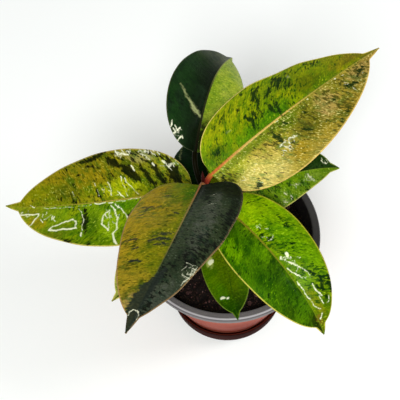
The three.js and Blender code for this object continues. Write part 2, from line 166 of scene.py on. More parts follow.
# Markings drawn on each blade, in millimetres. A stroke is its half width and then its points:
# along the midrib from the blade's base, and out from the midrib, minus to the left.
DARK_MARKS = {
    "leaf_right": [
        (2, 48, -19, 50, -13, 49, -5), (1.8, 55, -19, 53, -11), (2.4, 59, -25, 64, -31, 71, -36),
        (1.9, 59, -16, 66, -28), (2.2, 69, -22, 79, -29), (1.8, 78, -30, 84, -34, 90, -35),
        (1.6, 82, -29, 88, -33), (2.2, 80, -23, 84, -27, 89, -31), (2, 88, -17, 91, -22),
        (1.8, 67, -18, 67, -10, 69, -3), (1.8, 72, -18, 72, -10, 71, -3), (1.2, 69, -8, 70, 0),
        (1, 92, -33, 95, -30), (1.3, 108, -30, 118, -24), (1.3, 55, -39, 58, -37), (1.4, 46, -26, 48, -29),
        (1, 31, -29, 33, -27), (1.8, 13, -7, 16, -11), (1, 84, -17, 89, -25), (0.9, 59, -9, 63, -15),
        (0.7, 30, -18, 32, -18), (2.4, 56, 7, 58, 18), (2.2, 20, 32, 24, 29), (2, 119, 9, 122, 14, 130, 16),
        (2.2, 132, 11, 140, 7), (1, 105, 12, 109, 19), (1.4, 109, 30, 112, 28), (1, 101, 33, 103, 31),
        (1.1, 6, 4, 6, 11), (0.9, 92, 26, 93, 25), (1, 58, 23, 62, 22), (1, 66, 5, 71, 9),
        (0.9, 84, 8, 87, 12), (0.9, 76, 20, 80, 24),
    ],
    "leaf_left": [
        (4.4, 9, 5, 13, 14, 18, 29), (2.8, 21, 6, 26, 17, 31, 27), (2.3, 29, 6, 35, 17, 41, 26),
        (4.2, 41, 14, 48, 20, 56, 29), (3.4, 57, 27, 64, 33, 69, 36), (2.2, 68, 42, 80, 37, 94, 35),
        (1, 75, 29, 86, 31), (1.2, 91, 24, 94, 24), (0.9, 96, 17, 98, 18), (1.4, 29, 32, 34, 39),
        (1, 63, 20, 66, 23), (0.8, 73, 1, 80, 16), (1, 94, 1, 99, 9), (2.2, 84, -29, 85, -17, 86, -5),
        (1.2, 79, -39, 81, -38), (1.5, 93, -37, 100, -34), (1.5, 50, -21, 52, -14), (0.9, 107, 5, 110, 6),
        (1, 103, 30, 106, 31), (0.9, 24, 30, 27, 33), (0.9, 38, 33, 44, 38), (1.2, 22, 34, 26, 38),
        (1.3, 44, 36, 51, 39), (1.3, 43, 29, 48, 34), (1.2, 20, 27, 24, 32), (1.1, 52, 32, 57, 35),
        (1.1, 33, 28, 38, 31), (1.4, 58, 38, 64, 40), (0.9, 13, 20, 15, 24),
    ],
    "leaf_top_front": [
        (5, 107, -5, 118, -2, 126, 1, 136, 2.5, 146, 2, 162, 0), (1.3, 70, 1, 78, 13), (1.8, 77, 2, 84, 15),
        (1.2, 82, 1, 87, 10), (1, 42, 19, 45, 34), (0.8, 45, 29, 51, 28), (1.4, 83, 23, 88, 30),
        (1.2, 103, 13, 106, 21), (0.9, 92, 18, 94, 23), (1, 47, 5, 48, 10), (0.9, 24, 17, 26, 21),
        (0.9, 56, 28, 57, 30), (1, 72, -22, 78, -16), (0.9, 21, -22, 23, -14), (0.9, 80, -27, 86, -24),
        (0.9, 95, -18, 100, -22),
        (1.6, 0, -8, 1, -17, 4, -24.5, 7, -28, 11, -31, 16, -34, 24, -36.5, 34, -38, 46, -39, 58, -38.5, 70,
         -37, 84, -34.5),
    ],
    "leaf_front_right": [
        (2, 97, -23, 103, -21, 109, -18.5), (1.9, 93, -18, 99, -16.5, 105, -13.5), (1.4, 96, -20, 101, -18),
        (1.3, 97, -11.5, 103, -13), (1, 107, -15.5, 110, -12.5), (1, 86, -12, 92, -17), (1, 64, -13, 67, -19),
        (0.8, 61, -9, 63, -13), (1.2, 50, -20, 54, -23), (1, 41, -3, 43, -8), (0.9, 45, -2, 47, -6),
        (0.9, 50, -3, 52, -7), (1.1, 83, 22, 87, 23), (1.2, 57, 28, 60, 29), (0.9, 38, 20, 41, 18),
        (0.8, 34, 24, 36, 25), (0.8, 74, 13, 76, 16), (0.8, 96, 11, 98, 13), (0.9, 44, 25, 46, 24),
    ],
    "leaf_low_right": [
        (1.4, 44, 8, 48, 10), (1.2, 36, 7, 39, 9), (1.5, 55, 20, 58, 25), (1.1, 60, 23, 62, 25),
        (1.1, 54, 7, 56, 10), (1.1, 69, 18, 75, 20), (1, 66, 9, 67, 12), (1.2, 42, 15, 44, 18),
    ],
    "leaf_low_left": [(1.6, 30, 8, 36, 18), (1.8, 52, 10, 60, 20), (1.2, 70, -6, 76, -12)],
}
# Pale marks: leaf_back's cream streaks are its own colour; those on the other leaves are mostly painted
# highlights and painted sheen round the water glints
PALE_AND_HIGHLIGHT_MARKS = {
    "leaf_back": [(1.9, 30, 0, 35, -7, 42, -14), (0.8, 39, -12, 46, -18, 53, -24), (0.3, 22, 1, 24, 1)],
    "leaf_low_back": [(0.4, 48, -21, 60, -19, 70, -17)],
    "leaf_left": [(0.5, 12, 26, 20, 21), (0.6, 30, 31, 37, 36), (0.7, 45, 37, 57, 40)],
    "leaf_right": [
        (0.8, 53, 19, 58, 17), (0.9, 58, 18, 62, 21), (0.6, 63, 19, 68, 20), (0.7, 93, -29, 94, -26),
        (0.6, 30, -18, 33, -17),
    ],
    "leaf_low_right": [
        (1.1, 71, 3, 73, 8, 77, 13), (0.9, 58, 10, 65, 12), (0.8, 50, 14, 53, 18), (0.8, 48, 22, 53, 25),
    ],
}
# Water on the blades: each stroke is raised as a thin bead of water and also painted near white, a painted
# highlight for its glint
WATER_GLINT_MARKS = {
    "leaf_left": [
        (0.6, 59, -41, 62, -36, 62, -31, 60, -28), (0.45, 60, -28, 59.5, -20, 61, -12, 65, -4),
        (0.5, 66, -28, 71, -22, 71.5, -17, 69, -12, 66, -9), (0.15, 66, -10, 65.5, -18, 66, -27),
        (0.45, 68, -16, 69, -13), (0.4, 52, -19, 53, -14, 57, -9, 60, -7, 62, -3), (0.35, 70, -1.4, 79, -1.1),
        (0.5, 86, -31, 86.5, -28), (0.2, 86.5, -30, 86, -15, 87, -12, 91, -5),
        (0.75, 91, -24, 100, -24, 112, -24), (0.55, 112, -24, 110, -20, 102, -17, 98, -16, 95, -14),
        (0.5, 95, -14, 92, -18, 91, -24), (0.35, 109, -15, 110.5, -13, 110, -11),
        (0.3, 111.5, -13.5, 112, -10.5), (0.3, 114, -9, 116, -12, 117.5, -13), (0.3, 117, -5.5, 118, -8),
        (0.35, 119, -15.5, 120.5, -13), (0.25, 120, -11, 120.5, -8), (0.05, 42, -0.4, 52, -1, 62, -1.5),
        (0.35, 64, -1.5, 68, -1.6), (0.05, 82, -1.8, 92, -2.1), (0, 96, -2.2, 112, -2.2, 122, -1.4),
        (0.2, 129, -0.6, 132.5, 1.2), (0.4, 14, 22, 17, 20, 18, 23), (0.4, 19, 24, 22, 27),
        (0.45, 28, 23, 30, 26), (0.5, 129, -19, 124, -11, 124, -7.5, 130, -8), (0.55, 130, -8, 140, -8.5),
        (0.15, 43, 3, 48, 8, 51, 12, 54, 18), (0.3, 55, 2, 60, 7), (0.15, 65, 5, 66, 13),
        (0.4, 66, 13, 68, 16), (0.05, 75, 6, 77, 11), (0.25, 78, 14, 79, 16), (0.05, 95, 5, 98, 11),
        (0.05, 52, 3, 56, 15), (0.3, 56, 15, 57, 19), (0.5, 45, 23, 48, 27), (0.5, 50, 36, 54, 38, 58, 39.5),
        (0.1, 29, 33, 31, 37), (0.1, 20, 22, 24, 23), (0.15, 15, 17, 17, 20),
    ],
    "leaf_front_right": [
        (1.1, 68.5, -8, 70, -8), (0.9, 67.5, -3, 68.5, -2.5), (0.1, 68, -3, 70, -7),
        (0.3, 72, -4.5, 76, -6, 80, -9, 84, -10.5), (0.5, 80, -9, 83, -10.2), (0.2, 84, -10.5, 90, -12.5),
        (0.25, 77, -1.5, 81, -3, 86, -5, 89, -6.5), (0.5, 82, -3.4, 85, -4.4),
        (0.22, 89, -1.8, 100, -1.8, 110, -2.5, 115, -5.5), (0.35, 90, -1.9, 94, -1.8),
        (0.4, 97, -9.5, 102, -10, 107, -11), (0.3, 107, -9, 113, -9.8), (0.1, 110, -16, 113, -14, 113.5, -11),
        (0.2, 118, -5, 122, -2),
    ],
    "leaf_top_front": [
        (0.15, 103, -18, 104, -22, 106, -26, 111, -26), (0.15, 108, -24, 114, -25, 118, -21),
        (0.1, 112, -19, 116, -22, 121, -21), (0.05, 106, -19, 110, -17),
        (0.2, 149, -2.5, 145, -2.8, 142.8, -0.5, 142.8, 2, 145, 3.8, 147, 3.6),
    ],
    "leaf_back": [
        (0.6, 6, -16, 9, -14), (0.3, 8, -12, 10, -13), (0.4, 10, -20, 13, -18, 14, -21),
        (0.7, 14, -17, 16, -16), (0.4, 15, -18, 17, -20), (0.5, 15, -23, 20, -23),
    ],
    "leaf_right": [
        (0.25, 53, 19, 57, 18, 60, 17), (0.35, 62, 19, 60, 22, 57, 22), (0.25, 63, 18, 66, 19, 69, 20),
        (0.1, 54, 22, 56, 26), (0.2, 64, 1.7, 65, 1.8), (0.1, 76, 1.6, 77, 1.7), (0.25, 92, 1.6, 93, 1.8),
        (0.1, 104, 1.8, 105, 1.6), (0.25, 118, 1.6, 119, 1.6), (0.2, 124, 2.6, 125, 2.8),
    ],
    "leaf_low_front": [(1.9, 31, 11.5, 32, 13), (1, 65.5, 9.5, 65, 7.5), (0.7, 65.8, 4.8, 66, 4.2)],
    "leaf_low_right": [
        (0.2, 71, 3, 72, 6, 75, 9), (0.15, 74, 8, 77, 11, 76, 13), (0.1, 50, 15, 53, 18),
        (0.15, 49, 23, 52, 25), (0.35, 82.5, -7.5, 83.5, -4.5), (0.25, 85, -7, 84.5, -4, 86, -3.6),
    ],
}
# Patches of small glints on water, each raised and painted near white as a highlight: middle along and out,
# half length and half width, how many, and how thick
WATER_GLINT_PATCHES = {
    "leaf_left": [
        (12, 24, 7, 6, 9, 0.18), (30, 34, 11, 5, 20, 0.22), (52, 37, 10, 3, 12, 0.22),
        (62, -12, 6, 8, 8, 0.06), (134, -7, 5, 3, 5, 0.1), (62, 8, 14, 6, 6, 0.04),
    ],
    "leaf_top_front": [(112, -23, 9, 4, 18, 0), (30, -14, 10, 6, 3, 0)],
    "leaf_back": [(13, -18, 7, 5, 6, 0.1)],
    "leaf_right": [(60, 20, 8, 5, 10, 0.06), (128, 12, 10, 6, 4, 0.03), (24, 20, 10, 8, 6, 0.03)],
    "leaf_front_right": [(72, -6, 6, 5, 6, 0.1), (46, -6, 9, 4, 8, 0.04), (86, -8, 6, 3, 3, 0.06)],
    "leaf_low_right": [
        (73, 8, 5, 6, 6, 0.1), (51, 20, 7, 6, 6, 0.1), (85, -5, 3, 3, 2, 0.15), (62, 11, 5, 2, 3, 0.05),
    ],
}
# Soft patches of another tone, listed: middle along and out, half length and half width, tone, strength
SHADES = {
    "leaf_right": [
        (26, 24, 24, 14, "cream", 0.45), (14, 10, 13, 8, "yellow green", 0.75), (42, 4, 46, 4, "moss", 0.7),
        (70, 7, 8, 6, "moss", 0.7), (83, 19, 15, 10, "olive", 0.7), (63, 31, 9, 7, "gold", 0.6),
        (101, 14, 10, 13, "tan", 0.6), (135, 9, 10, 8, "tan", 0.6), (113, 27, 13, 6, "bronze", 0.45),
        (32, -28, 24, 9, "yellow green", 0.6), (12, -9, 13, 8, "deep green", 0.6),
        (56, -6, 34, 6, "leaf green", 0.6), (101, -11, 13, 10, "dark olive", 0.65),
        (84, -26, 20, 8, "moss", 0.6), (132, -9, 14, 7, "bronze", 0.5),
    ],
    "leaf_left": [
        (102, 11, 15, 9, "olive", 0.75), (80, 22, 18, 9, "ochre", 0.55), (113, 24, 15, 6, "ochre", 0.55),
        (58, 10, 18, 8, "lime", 0.7), (12, 15, 11, 10, "dark olive", 0.25), (36, 34, 15, 6, "straw", 0.5),
        (64, -21, 11, 14, "spring green", 0.6), (58, -6, 18, 5, "leaf green", 0.7),
        (104, -24, 16, 7, "moss", 0.6), (79, -22, 6, 13, "deep green", 0.5), (125, -17, 9, 6, "ochre", 0.6),
        (113, -31, 14, 5, "olive", 0.5), (130, -5, 8, 4, "khaki", 0.5),
    ],
    "leaf_top_front": [
        # The first, grey patch is a painted sheen across the charcoal half
        (58, -17, 40, 8, "grey", 0.75), (14, -30, 22, 8, "black green", 0.8),
        (8, -10, 14, 11, "black green", 0.7), (131, -10, 12, 9, "grey", 0.4),
        (100, -13, 15, 7, "charcoal", 0.5), (40, -33, 34, 3, "black green", 0.7),
        (16, 4, 26, 4, "deep green", 0.75), (10, 12, 13, 9, "moss", 0.6), (98, 12, 17, 9, "khaki", 0.6),
        (32, 27, 24, 8, "gold", 0.5), (139, 8, 7, 3, "tan", 0.6), (60, 10, 20, 7, "khaki", 0.4),
    ],
    "leaf_front_right": [
        (32, -4, 18, 5, "spring green", 0.7), (80, -20, 16, 7, "grass green", 0.5),
        (108, -5, 13, 4, "khaki", 0.6), (122, -1, 5, 3, "rust", 0.45), (58, -15, 15, 9, "grass green", 0.6),
        (88, -7, 12, 5, "grass green", 0.6), (56, 7, 9, 6, "grass green", 0.65),
        (38, 22, 13, 7, "grass green", 0.75), (73, 18, 10, 8, "forest green", 0.65),
        (97, 6, 17, 6, "deep green", 0.4), (48, 10, 12, 6, "deep green", 0.4),
        (16, -16, 12, 7, "spring green", 0.6),
    ],
    # leaf_back's near-black patch over its base is painted shade, where its stalk and the leaves above darken
    # it
    "leaf_back": [(12, 4, 20, 10, "black green", 0.95)],
    "leaf_low_front": [
        # The pale patch round the large water glint is a painted highlight
        (31, 13, 6, 3, "pale", 0.7), (74, 4, 12, 8, "forest green", 0.6), (60, 8, 9, 6, "leaf green", 0.3),
    ],
}

# Colours, as their codes on a screen
TONES = {
    "pale": 0xb4be60, "cream": 0xccbc62, "straw": 0xa09c58, "tan": 0xa48a4a, "rust": 0x7a501e,
    "gold": 0x947a06, "ochre": 0x867208, "bronze": 0x74620c, "khaki": 0x747408, "olive": 0x585a06,
    "dark olive": 0x3c4a00, "yellow green": 0x909806, "lime": 0x9ca804, "spring green": 0x88aa04,
    "grass green": 0x5e8c00, "moss": 0x546e04, "leaf green": 0x3a7600, "deep green": 0x285600,
    "forest green": 0x1c4400, "black green": 0x081402, "charcoal": 0x1c2616, "grey": 0x4a5040,
}
# Colour of the pale marks: cream streaks, and painted highlights on the other leaves
PALE_AND_HIGHLIGHT = 0xa2aa70
# Painted highlight: the near-white colour of the glints on water
PAINTED_GLINT = 0xf6f8d6
UNDERSIDE = 0xa8b280

# One half of a blade: its colours by the midrib, by the margin, towards the tip, and towards the base
# by the midrib and by the margin, then the slow clouds of a second colour, the fine dark and pale
# flecks, how many there are of each, and how far the base's colours run
HALVES = table("inner outer tip base base_out cloud dark pale dark_share pale_share reach", {
    "lime right": (
        0x5c7e00, 0x7e9000, 0x746c04, 0x648600, 0x889c00, 0x909600, 0x1e4000, 0xb0b61e, 0.24, 0.22, 0.3,
    ),
    "cream": (
        0x7a7a14, 0x8e7c20, 0x8e7a2c, 0xaaaa2a, 0xbcb046, 0xa08e30, 0x42420a, 0xdcd284, 0.4, 0.36, 0.55,
    ),
    # Its base colours are lightened, painted light against the shade that the leaf above casts over that part
    "bright left": (
        0x708e04, 0x5c7c00, 0x7a8212, 0x9cc004, 0xb0cc0e, 0x869606, 0x244800, 0xb0be3c, 0.28, 0.24, 0.3,
    ),
    "olive left": (
        0x6c7a02, 0x706c0a, 0x6e7202, 0x606e04, 0x969e28, 0x86800e, 0x243002, 0xb8b454, 0.28, 0.24, 0.3,
    ),
    "charcoal": (
        0x323e25, 0x2e3920, 0x3e4438, 0x060e00, 0x061000, 0x36402a, 0x080c05, 0x5c6654, 0.46, 0.16, 0.26,
    ),
    "golden": (
        0x666c06, 0x9e8616, 0x70641e, 0x466000, 0x908600, 0x927e1a, 0x3c4200, 0xb6a032, 0.26, 0.22, 0.4,
    ),
    "lime front": (
        0x567c00, 0x5a7e00, 0x506200, 0x92bc00, 0x9cc600, 0x6c8a00, 0x184200, 0xa8c228, 0.3, 0.22, 0.4,
    ),
    "green front": (
        0x224200, 0x3e6800, 0x203200, 0x162e00, 0x467400, 0x466e00, 0x163400, 0x689206, 0.24, 0.22, 0.3,
    ),
    "black green": (
        0x081404, 0x14300e, 0x38401e, 0x041002, 0x183810, 0x10220e, 0x040c02, 0x24301e, 0.2, 0.06, 0.3,
    ),
    "pale back": (
        0x768f16, 0x96a72c, 0x82921a, 0x5a7614, 0x68821c, 0x92a22c, 0x58720e, 0xb8c260, 0.3, 0.16, 0.3,
    ),
    "dark low": (
        0x122a08, 0x1a340c, 0x1c360c, 0x10260a, 0x10260a, 0x223a12, 0x0a1a06, 0x3c5428, 0.3, 0.2, 0.3,
    ),
    # Its base colour by the midrib is lightened, painted light against the shade that falls over that part
    "mottled low": (
        0x6e9408, 0x6c8c18, 0x5c7c08, 0x96be14, 0x82a614, 0x86a030, 0x224402, 0xa8b85a, 0.3, 0.28, 0.3,
    ),
    "dark back low": (
        0x061404, 0x08240a, 0x0a2a06, 0x020a00, 0x020a00, 0x081a04, 0x020800, 0x16280e, 0.3, 0.1, 0.3,
    ),
    "smooth low": (
        0x486200, 0x486c00, 0x123200, 0x747a00, 0x607200, 0x4a6800, 0x244200, 0x587408, 0.2, 0.16, 0.5,
    ),
    "left low": (
        0x68801a, 0x70821e, 0x969242, 0x506e10, 0x506e10, 0x828e32, 0x3a5810, 0x969e50, 0.34, 0.3, 0.3,
    ),
})

# Each leaf's left and right half, its midrib at the base, on the way and near the tip, its left and
# right margin, how much of the midrib has its colour, its darkest bars, its stalk by the stem, its gloss
LOOKS = table(
    "left right rib_base rib_middle rib_tip margin_left margin_right rib_share darkest stalk sheen", {
    "leaf_top_front": (
        "charcoal", "golden", 0x965e3a, 0x84723a, 0x545a22, 0x7c623e, 0xa4824e, 0.42, 0x222a22, 0x843e36,
        0.035,
    ),
    "leaf_right": (
        "lime right", "cream", 0xb26028, 0xc4a650, 0x948a32, 0xecd870, 0xccae5c, 0.62, 0x102804, 0xa43a2a,
        0.08,
    ),
    "leaf_left": (
        "bright left", "olive left", 0x968232, 0x968834, 0x827e24, 0xb8ac50, 0xaa9850, 0.56, 0x081002,
        0x822c22, 0.04,
    ),
    "leaf_front_right": (
        "lime front", "green front", 0x867024, 0x707018, 0x607410, 0x9a9828, 0xbeb648, 0.56, 0x042202,
        0x603c24, 0.035,
    ),
    "leaf_back": (
        "black green", "pale back", 0x0e0c02, 0x222610, 0x6e7432, 0x3c4628, 0x78823c, 0.62, 0x0c1a0a,
        0x0e0c02, 0.07,
    ),
    "leaf_low_left": (
        "smooth low", "left low", 0x8c6e32, 0x8c8232, 0x8c8232, 0xbeb45a, 0xbeb45a, 0.62, 0x28420e, 0x705428,
        0.05,
    ),
    "leaf_low_right": (
        "dark low", "mottled low", 0x786e28, 0x788228, 0x6e8228, 0x828c3c, 0xaaa850, 0.5, 0x1e380e, 0x705428,
        0.08,
    ),
    "leaf_low_back": (
        "dark back low", "smooth low", 0x1a0e06, 0x101606, 0x18260a, 0x1e360e, 0x1e360e, 0.62, 0x081206,
        0x1e0e0a, 0.01,
    ),
    "leaf_low_front": (
        "smooth low", "smooth low", 0x68700a, 0x506606, 0x2c4c04, 0x60781a, 0x60781a, 0.62, 0x1e3c06,
        0x686024, 0.04,
    ),
})


# Leaf shape, angles in degrees

def stem_axis(height):
    t = min(max((height - SOIL_TOP) / (STEM_TIP - SOIL_TOP), 0), 1)
    return np.array([STEM_X - STEM_LEAN * t ** 1.2, STEM_Y, height])


def direction(heading, rise):
    heading, rise = np.radians(heading), np.radians(rise)
    flat = np.cos(rise)
    return np.stack([flat * np.cos(heading), flat * np.sin(heading), np.sin(rise)], -1)


def side_and_up(heading, rise, roll):
    """The blade's way to the right and its upper way, at headings and slopes, turned by a roll."""
    angle = np.radians(heading)
    level = np.stack([np.sin(angle), -np.cos(angle), 0 * angle], -1)
    upright = np.cross(level, direction(heading, rise))
    c = np.cos(np.radians(roll))[..., None]
    s = np.sin(np.radians(roll))[..., None]
    return c * level + s * upright, c * upright - s * level


def stalk_heading(leaf, t):
    return leaf.heading + leaf.stalk_turn * (1 - t ** 1.5)


def stalk_slope(leaf, t):
    spread = JOINT_SPREAD * (1 - t) ** 4
    return leaf.stalk_rise - spread + (leaf.rise - leaf.stalk_rise) * t ** 3


def walk(start, ways, length):
    return np.vstack([start, start + np.cumsum(ways * length / len(ways), 0)])


def stalk_points(leaf):
    t = (np.arange(STALK_STEPS) + 0.5) / STALK_STEPS
    ways = direction(stalk_heading(leaf, t), stalk_slope(leaf, t))
    return walk(stem_axis(leaf.joint), ways, leaf.stalk_length)


def slope_at(leaf, s):
    tip = np.clip((s - TIP_DROOP_FROM) / (1 - TIP_DROOP_FROM), 0, None)
    return leaf.rise - leaf.droop * s - leaf.tip_droop * tip ** 2


def spine_points(leaf, start):
    s = (np.arange(SPINE_STEPS) + 0.5) / SPINE_STEPS
    return walk(start, direction(leaf.heading + leaf.sweep * s, slope_at(leaf, s)), leaf.length)


def along_points(points, t):
    places = np.linspace(0, 1, len(points))
    return np.stack([np.interp(t, places, points[:, k]) for k in range(3)], -1)


def half_width(leaf, s):
    """Half the blade's width at shares s of its length: an oval body and a drawn-out tip."""
    x = np.minimum(s / BODY_SHARE, 1)
    p = leaf.bluntness
    peak = (p / (p + TAPER)) ** p * (TAPER / (p + TAPER)) ** TAPER
    body = x ** p * (1 - x) ** TAPER / peak
    tip = np.clip((s - 0.55) / 0.35, 0, 1) * leaf.drip * ((1 - s) / (1 - BODY_SHARE)) ** 0.8
    width = np.cbrt(body ** 3 + tip ** 3) * leaf.width / 2
    return np.maximum(width, np.where(s < 0.5, BASE_HALF_WIDTH, TIP_HALF_WIDTH))


def smooth(x, low, high):
    t = np.clip((x - low) / (high - low), 0, 1)
    return t * t * (3 - 2 * t)


def larger(a, b, softness):
    """The larger of a and b, with the corner between them rounded."""
    return 0.5 * (a + b + np.sqrt((a - b) ** 2 + softness ** 2))


def stations(leaf):
    """Places along the blade, closer together where its outline turns fast."""
    fine = np.concatenate([0.1 * np.linspace(0, 1, 400) ** 3, np.linspace(0.1, 1, 1200)[1:]])
    width = half_width(leaf, fine)
    step = np.hypot(np.diff(fine) * leaf.length * 1.3, np.diff(width) * 0.8)
    run = np.concatenate([[0], np.cumsum(step)])
    return np.interp(np.linspace(0, run[-1], leaf.rows), run, fine)


def vein_place(x, y):
    """Where the lateral vein through a point leaves the midrib: veins lean and curve to the tip."""
    return x - VEIN_LEAN * np.abs(y) - VEIN_CURVE * y ** 2


def undulation(x, y, leaf, seed):
    """Slow rise and fall of the blade, none by the midrib and none at its foot."""
    draw = np.random.default_rng(seed)
    total = 0 * x
    for length in WAVE_LENGTHS:
        turn, phase = draw.uniform(0.2, 1.1), draw.uniform(0, 6.28)
        reach = x * math.cos(turn) + y * math.sin(turn)
        total = total + np.sin(6.28 * reach / length + phase) * length / 110
    return total * smooth(x, 4, 30) * smooth(np.abs(y), 1, leaf.width * 0.3) * 0.9


def upper_relief(x, y, edge, water_glint):
    """Heights on the upper face: the veins, a channel by the midrib, water and the rolled margin."""
    place = vein_place(x, y) + 0.5 * np.sin(x * 0.21) + 0.4 * np.sin(y * 0.13 + x * 0.05)
    inside = smooth(np.abs(y), 1.5, 5) * smooth(edge, 0.8, 4)
    main = (0.5 + 0.5 * np.cos(2 * np.pi * place / VEIN_SPACING)) ** 5 * VEIN_HEIGHT
    minor = np.cos(2 * np.pi * place / FINE_VEIN_SPACING) * FINE_VEIN_HEIGHT
    channel = -CHANNEL_DEPTH * np.exp(-((np.abs(y) - CHANNEL_PLACE) / 1.3) ** 2)
    water = WATER_HEIGHT * smooth(water_glint, -0.35, 0.45)
    rim = -MARGIN_ROLL * (1 - smooth(edge, 0, 0.9))
    return inside * (main + minor) + channel + water + rim


def mark_reach(x, y, strokes, pointed=0.0):
    """How far inside the nearest stroke each point lies, minus outside. Pointed ones narrow at both ends."""
    reach = np.full(x.shape, FAR_OUTSIDE)
    wavy_x = x + 0.4 * np.sin(y * 0.7 + 1.3) + 0.12 * np.sin(y * 1.7 + x * 0.6)
    wavy_y = y + 0.35 * np.sin(x * 0.6 + 0.4) + 0.12 * np.sin(x * 1.5 - y * 0.7)
    for width, *numbers in strokes:
        points = list(zip(numbers[::2], numbers[1::2]))
        count = len(points) - 1
        for i, ((ax, ay), (bx, by)) in enumerate(zip(points, points[1:])):
            square = (bx - ax) ** 2 + (by - ay) ** 2
            t = ((wavy_x - ax) * (bx - ax) + (wavy_y - ay) * (by - ay)) / max(square, 1e-6)
            t = np.clip(t, 0, 1)
            away = np.hypot(wavy_x - ax - t * (bx - ax), wavy_y - ay - t * (by - ay))
            narrow = 1 - pointed * (2 * (i + t) / count - 1) ** 2
            reach = np.maximum(reach, width * narrow - away)
    return reach


def squiggles(name):
    """Short curled water glints over each wet patch of a blade, from a seeded draw: raised, and painted as
    highlights.
    """
    draw = np.random.default_rng(GLINT_SEED + sorted(LEAVES).index(name))
    strokes = []
    for x, y, long, wide, count, width in WATER_GLINT_PATCHES.get(name, []):
        for _ in range(count):
            turn, reach = draw.uniform(0, 6.28), math.sqrt(draw.uniform(0, 1))
            px, py = x + long * reach * math.cos(turn), y + wide * reach * math.sin(turn)
            heading, bend = draw.uniform(0.9, 1.7) * math.copysign(1, y), draw.uniform(-0.9, 0.9)
            points = [px, py]
            for _ in range(3):
                step = draw.uniform(0.7, 1.9)
                px, py = px + step * math.cos(heading), py + step * math.sin(heading)
                heading += bend
                points += [px, py]
            strokes.append((width * draw.uniform(0.5, 1.2), *points))
    return strokes


def tube_point(middle, side, up, radius, angle):
    return (middle[:, None]
            + (radius[:, None] * np.cos(angle))[..., None] * side[:, None]
            + (radius[:, None] * np.sin(angle))[..., None] * up[:, None])


